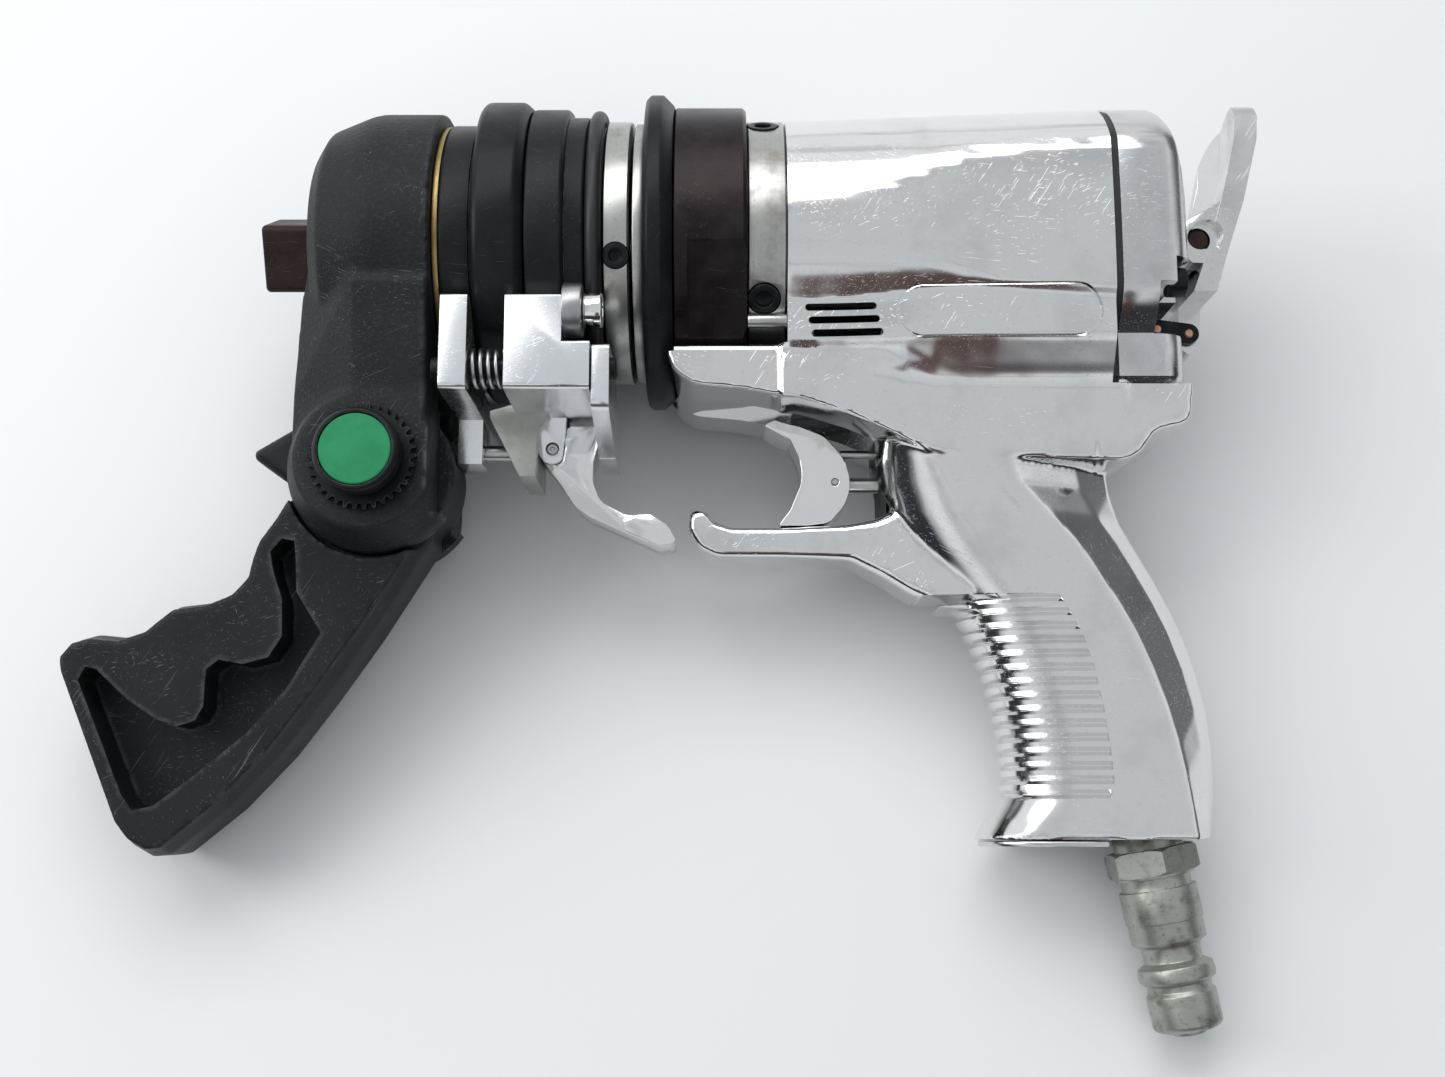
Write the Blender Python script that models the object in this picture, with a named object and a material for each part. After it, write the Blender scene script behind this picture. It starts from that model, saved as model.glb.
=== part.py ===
"""Air-driven pistol-grip torque wrench with a reaction arm and a folding side handle.

The tool lies on its right side, as it rests on a bench. In the tool's own axes, X runs from the
square drive to the rear, the grip points to -Y and the left side of the tool faces +Z. The whole
tool is then rolled about X until its flange and the foot of its grip touch the bench.

Lengths are in millimetres, and finish() writes every mesh in metres.
"""
import math

import bmesh
import bpy
from mathutils import Matrix, Vector

MM = 0.001
GAP = 0.3                       # clearance between two pieces that touch
RING_STEPS = 26                 # sides of a turned ring
PIN_STEPS = 12                  # sides of a pin or a small bore
ARC_STEP = math.radians(22)     # turn of one facet on a rounded corner

# ---------------------------------------------------------------- output end
DRIVE_SIDE = 19.05              # 3/4 in square drive
DRIVE_LENGTH = 19.0
DRIVE_TURN = 27.0               # degrees the square stands at, at rest
SPINDLE_R = 15.0
HUB_FRONT, HUB_LENGTH = 17.3, 35.1
HUB_R = 39.5
ARM_LEAD, ARM_SHORT = 5.1, 0.8  # the arm starts ahead of its hub and ends short of it
PIVOT_BACK, PIVOT_DROP = 18.4, 24.1     # side handle's pivot, behind the hub's face and below the collar
BOSS_R, BOSS_FACE_R = 23.5, 18.8
BOSS_SIDE, BOSS_FACE = 18.0, 30.0
FORK_HALF = 12.0                # half of the slot between the arm's cheeks
FORK_CLEAR = 2.0                # from the handle's tongue to the roof of the slot
PIVOT_BOLT_R = 7.5

# ---------------------------------------------------------------- gear case and its rings
CASE_IN, CASE_OUT = 28.6, 33.0
WASHER_R, WASHER_LENGTH = 36.0, 1.5
NOSE_R, NOSE_LENGTH = 36.4, 9.0
COLLAR_R, COLLAR_LENGTH, COLLAR_CHAMFER = 42.8, 13.7, 2.0
SLEEVE_R, SLEEVE_LENGTH = 40.8, 10.4
STEP_R, STEP_LENGTH = 38.6, 5.5
SEAL_SEAT_R, SEAL_SEAT_LENGTH = 36.0, 4.6
SEAL_WIRE_R = 2.1
BAND_R, BAND_LENGTH = 37.4, 6.9
SWIVEL_GAP = 1.0                # open joint between the gear case and the motor case

# ---------------------------------------------------------------- motor case and its rings
SPACER_R, SPACER_LENGTH = 36.9, 2.7
FLANGE_R, FLANGE_LENGTH = 44.9, 7.9
REAR_COLLAR_R, REAR_COLLAR_LENGTH = 41.3, 19.6
REAR_BAND_LENGTH = 10.4
MOTOR_CASE_IN = 30.0
SET_SCREW_R, SET_SCREW_LENGTH = 4.2, 3.6
FRONT_SET_SCREW_R = 3.4

# ---------------------------------------------------------------- gears
MODULE = 1.0
SUN_TEETH, PLANET_TEETH, RING_TEETH = 12, 18, 48
PLANET_COUNT = 3
GEAR_WIDTH = 13.0
CARRIER_R, CARRIER_THICK = 21.0, 5.5
PLANET_PIN_R = 3.0

# ---------------------------------------------------------------- motor
ROTOR_R, ROTOR_LENGTH = 22.0, 60.0
ROTOR_SHAFT_R = 4.6
LINER_BORE_R, LINER_OFFSET = 24.6, 1.8
PLATE_THICK = 6.0
BEARING_R, BEARING_BORE_R, BEARING_WIDTH = 13.0, 5.0, 5.0
VANE_SLOTS, VANE_SLOT_WIDTH, VANE_SLOT_DEPTH = 4, 2.4, 9.0

# ---------------------------------------------------------------- housing
HOUSING_LENGTH = 87.7
BARREL_FRONT_R, BARREL_REAR_R = 37.5, 40.8
BODY_HALF = 26.5                # half width of the body under the barrel
GRIP_HALF = 18.5
GUARD_HALF = 10.5
SLOT_HALF = 9.3                 # half width of the trigger slot
BODY_FLOOR = -45.0              # underside of the rear cap and top of the foot below it
GASKET_THICK = 1.3
CAP_LENGTH = 19.0
CAP_SCREW_R, CAP_SCREW_HEAD = 4.0, 5.0

# ---------------------------------------------------------------- air inlet
INLET_BACK, INLET_Y = 98.2, -168.2   # from the housing's front, where the inlet leaves the grip
INLET_TILT = 10.4               # degrees from -Y towards +X
INLET_HEX = 22.2                # across flats
INLET_BODY_R, INLET_RING_R, INLET_NECK_R, INLET_TIP_R = 10.1, 10.2, 7.6, 9.3
INLET_LENGTH = 49.0
INLET_BORE_R = 4.5

# ---------------------------------------------------------------- controls
TRIGGER_HALF = 8.6
TRIGGER_TRAVEL = 7.0
GUIDE_Y, GUIDE_R, GUIDE_REACH = -59.4, 1.25, 22.0
THROTTLE_Y, THROTTLE_R, THROTTLE_REACH = -68.3, 2.2, 36.0
LEVER_BACK, LEVER_Y = 6.6, -1.9      # pivot of the reversing lever, behind the cap
LEVER_PIN_R = 3.2
LEVER_HALF, LEVER_CHEEK = 20.0, 6.6
LUG_R = 7.4
SPOOL_Y, SPOOL_R = -25.0, 4.0
LINK_THICK = 1.5

# ---------------------------------------------------------------- latch under the gear case
LATCH_CLEAR = COLLAR_R + 0.6            # radius the latch straddles
LATCH_HALF, LATCH_FAR = LATCH_CLEAR - 2.4, LATCH_CLEAR - 6.9    # near side and bench side
LATCH_TOP, LATCH_FAR_TOP, LATCH_FLOOR = -25.3, -34.0, -LATCH_CLEAR - 7.5
LATCH_THICK = 7.1
LATCH_TRAVEL = 2.5
BLOCK_STEP_LENGTH = 7.8
YOKE_THICK = 4.6
LATCH_ROD = (LATCH_FLOOR + 7.4, LATCH_HALF - 8.0)       # Y and Z of the spring rod
LATCH_ROD_R, SPRING_R, SPRING_WIRE = 3.0, 4.9, 0.65
LOCK_PIN_Y, LOCK_PIN_R = LATCH_FLOOR - 8.1, 2.25
FINGER_BACK, FINGER_Y = 9.8, LATCH_FLOOR - 8.9          # pivot, from the front of the catch block
FINGER_HALF, FINGER_PIN_R = 6.0, 1.6
ROLLER = (LATCH_TOP - 3.3, LATCH_HALF - 4.4)
ROLLER_R, ROLLER_WIDTH = 7.2, 5.2

# ---------------------------------------------------------------- side handle and its button
TONGUE_R = 21.0
HANDLE_HALF = 17.0
BUTTON_R, BUTTON_TOP = 11.2, 40.7
BUTTON_TRAVEL = 1.8
BUTTON_CAP = 3.4                # depth of the button's solid top
TOOTH_TIP_R, TOOTH_ROOT_R, TOOTH_COUNT = 14.4, 12.9, 28
BASE_RING_THICK = 1.9

# ---------------------------------------------------------------- datums that outlines are drawn from
DRAWN_PIVOT = (35.7, -66.9)
DRAWN_BLOCK, DRAWN_FLOOR, DRAWN_SIDE = 73.7, -50.9, 41.0
DRAWN_HOUSING, DRAWN_CAP = 148.3, 256.9

LOOKS = {
    "polished aluminium": ((0.80, 0.80, 0.79), 1.0, 0.16),
    "black oxide steel": ((0.030, 0.030, 0.032), 0.6, 0.42),
    "drive steel": ((0.05, 0.035, 0.032), 0.7, 0.45),
    "machined steel": ((0.42, 0.42, 0.41), 1.0, 0.32),
    "brass": ((0.52, 0.38, 0.16), 1.0, 0.35),
    "cast arm": ((0.055, 0.058, 0.060), 0.3, 0.62),
    "moulded handle": ((0.050, 0.053, 0.056), 0.0, 0.55),
    "gasket": ((0.02, 0.02, 0.02), 0.0, 0.7),
    "green enamel": ((0.03, 0.42, 0.22), 0.0, 0.4),
    "zinc": ((0.55, 0.54, 0.50), 1.0, 0.38),
}


# ================================================================ helpers
def rounded(corners):
    """Closed outline through (u, v) or (u, v, radius) corners, each radius drawn as an arc."""
    outline = []
    for index, corner in enumerate(corners):
        here = Vector(corner[:2])
        if len(corner) == 2:
            outline.append(here)
            continue
        before = Vector(corners[index - 1][:2])
        after = Vector(corners[(index + 1) % len(corners)][:2])
        into, out = (here - before).normalized(), (after - here).normalized()
        bend = math.atan2(into.x * out.y - into.y * out.x, into.dot(out))
        side = math.copysign(1.0, bend)
        start = here - into * corner[2] * math.tan(abs(bend) / 2)
        centre = start + Vector((-into.y, into.x)) * side * corner[2]
        steps = max(1, math.ceil(abs(bend) / ARC_STEP))
        for step in range(steps + 1):
            turn = Matrix.Rotation(bend * step / steps, 2)
            outline.append(centre + turn @ (start - centre))
    return outline


def moved(corners, across, down=0.0):
    """Corners shifted to follow the datum they are drawn from."""
    return [(corner[0] + across, corner[1] + down, *corner[2:]) for corner in corners]


def circle(centre, radius, steps=RING_STEPS, start=0.0):
    """Points of a circle, as an outline."""
    angles = [start + math.tau * step / steps for step in range(steps)]
    return [Vector((centre[0] + radius * math.cos(a), centre[1] + radius * math.sin(a))) for a in angles]


def inset(outline, depth):
    """The outline moved inwards, by one depth or by a function of the point's place."""
    count = len(outline)
    area = sum(outline[i - 1].cross(outline[i]) for i in range(count))
    side = math.copysign(1.0, area)
    moved = []
    for index, here in enumerate(outline):
        into = (here - outline[index - 1]).normalized()
        out = (outline[(index + 1) % count] - here).normalized()
        normal = Vector((-(into + out).y, (into + out).x)).normalized() * side
        amount = depth(here) if callable(depth) else depth
        moved.append(here + normal * amount)
    return moved


def spot(axis, u, v, along):
    """A point from two coordinates across an axis and one along it."""
    return {"X": (along, u, v), "Y": (u, along, v), "Z": (u, v, along)}[axis]


def layered(levels, axis="Z"):
    """Solid skinned over closed outlines, given as (place along the axis, outline) pairs."""
    bm = bmesh.new()
    rims = []
    for along, outline in levels:
        verts = [bm.verts.new(spot(axis, point[0], point[1], along)) for point in outline]
        rims.append([bm.edges.new((verts[i - 1], verts[i])) for i in range(len(verts))])
    for low, high in zip(rims, rims[1:]):
        bmesh.ops.bridge_loops(bm, edges=low + high)
    for rim in (rims[0], rims[-1]):
        bmesh.ops.contextual_create(bm, geom=rim)
    bmesh.ops.recalc_face_normals(bm, faces=bm.faces)
    return bm


def prism(outline, low, high, axis="Z", edge=0.0):
    """Outline extruded along an axis, with its two rims chamfered by edge."""
    if not edge:
        return layered([(low, outline), (high, outline)], axis)
    small = inset(outline, edge)
    return layered([(low, small), (low + edge, outline), (high - edge, outline), (high, small)], axis)


def block(low, high):
    """Rectangular block between two corners."""
    outline = [(low[0], low[1]), (high[0], low[1]), (high[0], high[1]), (low[0], high[1])]
    return prism([Vector(point) for point in outline], low[2], high[2])


def turned(profile, axis="X", centre=(0.0, 0.0, 0.0), steps=RING_STEPS):
    """Solid of revolution of (along, radius) points. A profile clear of the axis makes a ring."""
    bm = bmesh.new()
    verts = [bm.verts.new(spot(axis, radius, 0.0, along)) for along, radius in profile]
    edges = [bm.edges.new(pair) for pair in zip(verts, verts[1:])]
    if profile[0][1] > 0 and profile[-1][1] > 0:
        edges.append(bm.edges.new((verts[-1], verts[0])))
    direction = spot(axis, 0.0, 0.0, 1.0)
    bmesh.ops.spin(bm, geom=verts + edges, cent=(0, 0, 0), axis=direction, angle=math.tau, steps=steps,
                   use_merge=True)
    bmesh.ops.remove_doubles(bm, verts=bm.verts, dist=1e-4)
    bmesh.ops.recalc_face_normals(bm, faces=bm.faces)
    bmesh.ops.translate(bm, verts=bm.verts, vec=Vector(centre))
    return bm


def ring(front, rear, inner, outer, chamfer=0.0):
    """Profile of a plain ring about X, with its two outer rims chamfered."""
    if not chamfer:
        return [(front, inner), (front, outer), (rear, outer), (rear, inner)]
    return [(front, inner), (front, outer - chamfer), (front + chamfer, outer),
            (rear - chamfer, outer), (rear, outer - chamfer), (rear, inner)]


def gear_outline(teeth, outward, start=0.0):
    """Stub teeth with straight flanks on the pitch circle. Start is the angle of the first tooth."""
    pitch_r = teeth * MODULE / 2
    side = 1 if outward else -1
    tip_r, root_r = pitch_r + side * 0.75 * MODULE, pitch_r - side * 1.1 * MODULE
    pitch = math.tau / teeth
    outline = []
    for tooth in range(teeth):
        middle = start + tooth * pitch
        for share, radius in ((-0.31, root_r), (-0.12, tip_r), (0.12, tip_r), (0.31, root_r)):
            angle = middle + share * pitch
            outline.append(Vector((radius * math.cos(angle), radius * math.sin(angle))))
    return outline


def coil(front, rear, radius, wire, centre, turns=4, steps=9):
    """Helical spring along X about (y, z) centre."""
    bm = bmesh.new()
    section = circle((front + wire, radius), wire, 5)
    verts = [bm.verts.new((point[0], point[1], 0.0)) for point in section]
    edges = [bm.edges.new((verts[i - 1], verts[i])) for i in range(len(verts))]
    bmesh.ops.contextual_create(bm, geom=edges)
    count = turns * steps
    rise = (rear - front - 2 * wire) / count
    bmesh.ops.spin(bm, geom=bm.verts[:] + bm.edges[:] + bm.faces[:], cent=(0, 0, 0), axis=(1, 0, 0),
                   dvec=(rise, 0, 0), angle=math.tau * turns, steps=count)
    bmesh.ops.recalc_face_normals(bm, faces=bm.faces)
    bmesh.ops.translate(bm, verts=bm.verts, vec=(0, centre[0], centre[1]))
    return bm


def screw(radius, length, socket_r, direction, seat):
    """Socket screw: its outer end at seat, its shank running back along -direction."""
    rims = [(-length, circle((0, 0), radius, PIN_STEPS)), (-0.4, circle((0, 0), radius, PIN_STEPS)),
            (0.0, circle((0, 0), radius - 0.4, PIN_STEPS)), (0.0, circle((0, 0), socket_r, 6)),
            (-length * 0.55, circle((0, 0), socket_r, 6))]
    bm = layered(rims)
    turn = Vector(direction).to_track_quat("Z", "Y").to_matrix().to_4x4()
    bmesh.ops.transform(bm, matrix=Matrix.Translation(seat) @ turn, verts=bm.verts)
    return bm


def look(name):
    """Principled material of a finish, made once."""
    made = bpy.data.materials.get(name)
    if made:
        return made
    colour, metallic, roughness = LOOKS[name]
    made = bpy.data.materials.new(name)
    made.use_nodes = True
    shader = made.node_tree.nodes["Principled BSDF"]
    shader.inputs["Base Color"].default_value = (*colour, 1.0)
    shader.inputs["Metallic"].default_value = metallic
    shader.inputs["Roughness"].default_value = roughness
    return made


def finish(name, bm, finish_name, pivot=(0.0, 0.0, 0.0)):
    """Write a shape as an object of the tool, with its origin at the pivot."""
    bmesh.ops.translate(bm, verts=bm.verts, vec=-Vector(pivot))
    bmesh.ops.scale(bm, verts=bm.verts, vec=(MM, MM, MM))
    mesh = bpy.data.meshes.new(name)
    bm.to_mesh(mesh)
    bm.free()
    mesh.materials.append(look(finish_name))
    mesh.shade_smooth()
    mesh.set_sharp_from_angle(angle=math.radians(30))
    piece = bpy.data.objects.new(name, mesh)
    bpy.context.scene.collection.objects.link(piece)
    piece.parent = bpy.data.objects["tool_axes"]
    piece.location = Vector(pivot) * MM
    return piece


def combine(piece, bm, operation="DIFFERENCE"):
    """Cut a shape out of a piece, or join it on, with a hidden guide object."""
    count = len(piece.modifiers) + 1
    pivot = piece.location / MM
    guide = finish(f"{piece.name}_guide_{count}", bm, "gasket", pivot)
    guide.hide_render = True
    guide.display_type = "WIRE"
    step = piece.modifiers.new(f"{operation.lower()}_{count}", "BOOLEAN")
    step.operation = operation
    step.object = guide
    return piece


def around(angle, radius, along):
    """Point on the barrel: angle from +Z towards -Y, in degrees."""
    turn = math.radians(angle)
    return Vector((along, -radius * math.sin(turn), radius * math.cos(turn)))


# ================================================================ stations along the barrel
HUB_REAR = HUB_FRONT + HUB_LENGTH
ARM_LEFT, ARM_RIGHT = HUB_FRONT - ARM_LEAD, HUB_REAR - ARM_SHORT
PIVOT = (HUB_FRONT + PIVOT_BACK, -COLLAR_R - PIVOT_DROP)
FORK_ROOF = PIVOT[1] + TONGUE_R + FORK_CLEAR
WASHER_FRONT = HUB_REAR + GAP
NOSE_FRONT = WASHER_FRONT + WASHER_LENGTH + GAP
COLLAR_FRONT = NOSE_FRONT + NOSE_LENGTH + GAP
SLEEVE_FRONT = COLLAR_FRONT + COLLAR_LENGTH + GAP
STEP_FRONT = SLEEVE_FRONT + SLEEVE_LENGTH
SEAT_FRONT = STEP_FRONT + STEP_LENGTH
BAND_FRONT = SEAT_FRONT + SEAL_SEAT_LENGTH + GAP
CASE_REAR = BAND_FRONT + BAND_LENGTH
SPACER_FRONT = CASE_REAR + SWIVEL_GAP
FLANGE_FRONT = SPACER_FRONT + SPACER_LENGTH + GAP
REAR_COLLAR_FRONT = FLANGE_FRONT + FLANGE_LENGTH + GAP
REAR_BAND_FRONT = REAR_COLLAR_FRONT + REAR_COLLAR_LENGTH + GAP
HOUSING_FRONT = REAR_BAND_FRONT + REAR_BAND_LENGTH + GAP
HOUSING_REAR = HOUSING_FRONT + HOUSING_LENGTH
MOTOR_CASE_REAR = HOUSING_REAR - 1.0
GEAR_REAR = CASE_REAR - 3.0
GEAR_FRONT = GEAR_REAR - GEAR_WIDTH
CARRIER_REAR = GEAR_FRONT - 0.6
CARRIER_FRONT = CARRIER_REAR - CARRIER_THICK
FRONT_PLATE = REAR_COLLAR_FRONT + 2.0
LINER_FRONT = FRONT_PLATE + PLATE_THICK + GAP
ROTOR_FRONT = LINER_FRONT + 0.6
ROTOR_REAR = ROTOR_FRONT + ROTOR_LENGTH
LINER_REAR = ROTOR_REAR + 0.6
REAR_PLATE = LINER_REAR + GAP
GASKET_FRONT = HOUSING_REAR + GAP
CAP_FRONT = GASKET_FRONT + GASKET_THICK + GAP
CAP_REAR = CAP_FRONT + CAP_LENGTH
RING_BORE = CASE_OUT + GAP
PLANET_ORBIT = (SUN_TEETH + PLANET_TEETH) * MODULE / 2
BLOCK_LEFT, BLOCK_STEP = COLLAR_FRONT + 9.9, STEP_FRONT
BLOCK_RIGHT = BLOCK_STEP + BLOCK_STEP_LENGTH
LATCH_RIGHT = BLOCK_LEFT - LATCH_TRAVEL - 7.4
LATCH_LEFT = LATCH_RIGHT - LATCH_THICK
YOKE_LEFT = BLOCK_RIGHT + 0.5
FINGER_PIVOT = (BLOCK_LEFT + FINGER_BACK, FINGER_Y)
LEVER_PIVOT = (CAP_REAR + LEVER_BACK, LEVER_Y)
INLET = (HOUSING_FRONT + INLET_BACK, INLET_Y)
BEHIND_HOUSING = HOUSING_FRONT - DRAWN_HOUSING
BEHIND_CAP = CAP_REAR - DRAWN_CAP


# ================================================================ rest on the bench
def bench_roll():
    """Roll about X that brings the flange and the grip's foot level with the bench."""
    foot = math.hypot(165.0, GRIP_HALF)
    return math.asin(FLANGE_R / foot) - math.atan2(GRIP_HALF, 165.0)


def start_scene():
    for item in list(bpy.data.objects):
        bpy.data.objects.remove(item)
    axes = bpy.data.objects.new("tool_axes", None)
    axes.rotation_euler = (bench_roll(), 0.0, 0.0)
    bpy.context.scene.collection.objects.link(axes)


# ================================================================ gear case body
def reaction_arm():
    chamfer = HUB_R - 8.0
    hub = turned([(HUB_FRONT, SPINDLE_R + 0.4), (HUB_FRONT, chamfer - 2), (HUB_FRONT + 4, HUB_R - 4.5),
                  (HUB_FRONT + 15, HUB_R - 0.4), (HUB_FRONT + 18, HUB_R), (HUB_REAR, HUB_R),
                  (HUB_REAR, SPINDLE_R + 0.4)])
    arm = finish("reaction_arm", hub, "cast arm")
    sections = []
    for y, half in ((-20.0, 36.0), (PIVOT[1] + 19.5, BOSS_FACE - 0.2), (PIVOT[1], BOSS_FACE - 0.2)):
        outline = [(ARM_RIGHT, -half), (ARM_RIGHT, half), (ARM_LEFT + 19.5, half), (ARM_LEFT, half / 2),
                   (ARM_LEFT, -half / 2), (ARM_LEFT + 19.5, -half)]
        sections.append((y, [Vector(point) for point in outline]))
    combine(arm, layered(sections, "Y"), "UNION")
    boss = turned([(-BOSS_FACE, 0.0), (-BOSS_FACE, BOSS_FACE_R), (-BOSS_SIDE, BOSS_R),
                   (BOSS_SIDE, BOSS_R), (BOSS_FACE, BOSS_FACE_R), (BOSS_FACE, 0.0)], "Z", (*PIVOT, 0.0))
    combine(arm, boss, "UNION")
    combine(arm, block((ARM_LEFT - 12, PIVOT[1] - 33, -FORK_HALF), (ARM_RIGHT + 18, FORK_ROOF, FORK_HALF)))
    combine(arm, turned([(-60, 0), (-60, PIVOT_BOLT_R + GAP), (60, PIVOT_BOLT_R + GAP), (60, 0)], "Z",
                        (*PIVOT, 0.0), PIN_STEPS * 2))


def pivot_bolt():
    head = BOSS_FACE + 2.6
    profile = [(-head, 0.0), (-head, 10.2), (-BOSS_FACE - GAP, 11.0), (-BOSS_FACE - GAP, PIVOT_BOLT_R),
               (BOSS_FACE - 1.0, PIVOT_BOLT_R), (BOSS_FACE - 1.0, 0.0)]
    finish("pivot_bolt", turned(profile, "Z", (*PIVOT, 0.0), PIN_STEPS * 2), "black oxide steel")


def index_ring():
    """Toothed ring on the arm's near cheek, with the sleeve that guides the button."""
    low = BOSS_FACE + GAP
    teeth = []
    for tooth in range(TOOTH_COUNT):
        middle = math.tau * tooth / TOOTH_COUNT
        for share, radius in ((-0.28, TOOTH_ROOT_R), (-0.12, TOOTH_TIP_R), (0.12, TOOTH_TIP_R),
                              (0.28, TOOTH_ROOT_R)):
            angle = middle + share * math.tau / TOOTH_COUNT
            teeth.append(Vector((PIVOT[0] + radius * math.cos(angle), PIVOT[1] + radius * math.sin(angle))))
    base = finish("index_ring", prism(teeth, low, low + BASE_RING_THICK), "black oxide steel")
    sleeve = circle(PIVOT, BUTTON_R - 1.2, 20)
    combine(base, prism(sleeve, low + 0.5, BUTTON_TOP - BUTTON_CAP - BUTTON_TRAVEL - GAP), "UNION")
    combine(base, prism(circle(PIVOT, 6.0, 16), 0.0, BUTTON_TOP), "DIFFERENCE")


def case_rings():
    finish("thrust_washer", turned(ring(WASHER_FRONT, WASHER_FRONT + WASHER_LENGTH, SPINDLE_R + 0.5,
                                        WASHER_R)), "brass")
    nose_rear = NOSE_FRONT + NOSE_LENGTH
    finish("gear_case", turned([(NOSE_FRONT, CASE_IN), (NOSE_FRONT, NOSE_R), (nose_rear, NOSE_R),
                                (nose_rear, CASE_OUT), (CASE_REAR, CASE_OUT), (CASE_REAR, CASE_IN)]),
           "black oxide steel")
    rear = COLLAR_FRONT + COLLAR_LENGTH
    finish("front_collar", turned([(COLLAR_FRONT, RING_BORE), (COLLAR_FRONT, COLLAR_R - 1.0),
                                   (COLLAR_FRONT + 1.0, COLLAR_R), (rear - COLLAR_CHAMFER, COLLAR_R),
                                   (rear, COLLAR_R - COLLAR_CHAMFER), (rear, RING_BORE)]),
           "black oxide steel")
    seat_rear = SEAT_FRONT + SEAL_SEAT_LENGTH
    finish("step_sleeve", turned([(SLEEVE_FRONT, RING_BORE), (SLEEVE_FRONT, SLEEVE_R),
                                  (STEP_FRONT, SLEEVE_R), (STEP_FRONT, STEP_R), (SEAT_FRONT, STEP_R),
                                  (SEAT_FRONT, SEAL_SEAT_R), (seat_rear, SEAL_SEAT_R),
                                  (seat_rear, RING_BORE)]), "black oxide steel")
    seal_x = SEAT_FRONT + SEAL_SEAT_LENGTH / 2
    section = circle((seal_x, SEAL_SEAT_R + GAP + SEAL_WIRE_R), SEAL_WIRE_R, 6)
    finish("seal_ring", turned([tuple(point) for point in section]), "gasket")
    band = finish("front_band", turned(ring(BAND_FRONT, CASE_REAR, RING_BORE, BAND_R)), "machined steel")
    place = around(20.0, BAND_R + 0.2, BAND_FRONT + BAND_LENGTH / 2)
    hole = around(20.0, BAND_R + 3.0, place.x)
    combine(band, screw_hole(FRONT_SET_SCREW_R + GAP, 8.0, place, hole))
    outward = Vector((0.0, place.y, place.z)).normalized()
    finish("front_set_screw", screw(FRONT_SET_SCREW_R - 0.4, SET_SCREW_LENGTH, 1.6, outward, place),
           "black oxide steel")


def screw_hole(radius, depth, seat, mouth):
    """Round cutter from above the seat down to a depth below it."""
    outward = (Vector(mouth) - Vector(seat)).normalized()
    bm = prism(circle((0, 0), radius, PIN_STEPS), -depth, 4.0)
    turn = outward.to_track_quat("Z", "Y").to_matrix().to_4x4()
    bmesh.ops.transform(bm, matrix=Matrix.Translation(seat) @ turn, verts=bm.verts)
    return bm


def ring_gear():
    outer = circle((0, 0), CASE_IN - GAP, RING_STEPS)
    gear = finish("ring_gear", prism(outer, GEAR_FRONT, GEAR_REAR, "X"), "machined steel")
    combine(gear, prism(gear_outline(RING_TEETH, False, 0.0), GEAR_FRONT - 2,
                        GEAR_REAR + 2, "X"))


def nose_bush():
    front = NOSE_FRONT + 0.6
    finish("nose_bush", turned(ring(front, front + 12.0, SPINDLE_R + 0.2, CASE_IN - GAP)), "brass")


# ================================================================ drive line
def output_spindle():
    half = DRIVE_SIDE / 2
    corner = 1.6
    square = [Vector(point) for point in ((half - corner, -half), (half, -half + corner),
                                          (half, half - corner), (half - corner, half),
                                          (-half + corner, half), (-half, half - corner),
                                          (-half, -half + corner), (-half + corner, -half))]
    turn = Matrix.Rotation(math.radians(DRIVE_TURN), 2)
    square = [turn @ point for point in square]
    small = inset(square, 1.3)
    spindle = finish("output_spindle", layered([(0.0, small), (1.3, square), (DRIVE_LENGTH + 2, square)],
                                               "X"), "drive steel")
    shaft = turned([(DRIVE_LENGTH, 0.0), (DRIVE_LENGTH, SPINDLE_R - 0.6), (DRIVE_LENGTH + 0.6, SPINDLE_R),
                    (CARRIER_FRONT, SPINDLE_R), (CARRIER_FRONT, CARRIER_R), (CARRIER_REAR, CARRIER_R),
                    (CARRIER_REAR, 0.0)])
    combine(spindle, shaft, "UNION")
    for planet in range(PLANET_COUNT):
        centre = planet_centre(planet)
        pin = prism(circle(centre, PLANET_PIN_R, PIN_STEPS), CARRIER_REAR - 2.0, GEAR_REAR, "X")
        combine(spindle, pin, "UNION")


def planet_centre(planet):
    angle = math.tau * planet / PLANET_COUNT
    return (PLANET_ORBIT * math.cos(angle), PLANET_ORBIT * math.sin(angle))


def planets():
    for planet in range(PLANET_COUNT):
        y, z = planet_centre(planet)
        toothed = gear_outline(PLANET_TEETH, True, math.pi / PLANET_TEETH)
        outline = [Vector((y, z)) + point for point in toothed]
        gear = finish(f"planet_gear_{planet + 1}",
                      prism(outline, GEAR_FRONT + GAP, GEAR_REAR - GAP, "X"), "machined steel",
                      (GEAR_FRONT, y, z))
        combine(gear, prism(circle((y, z), PLANET_PIN_R + GAP, PIN_STEPS), GEAR_FRONT - 2, GEAR_REAR + 2,
                            "X"))


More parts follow.
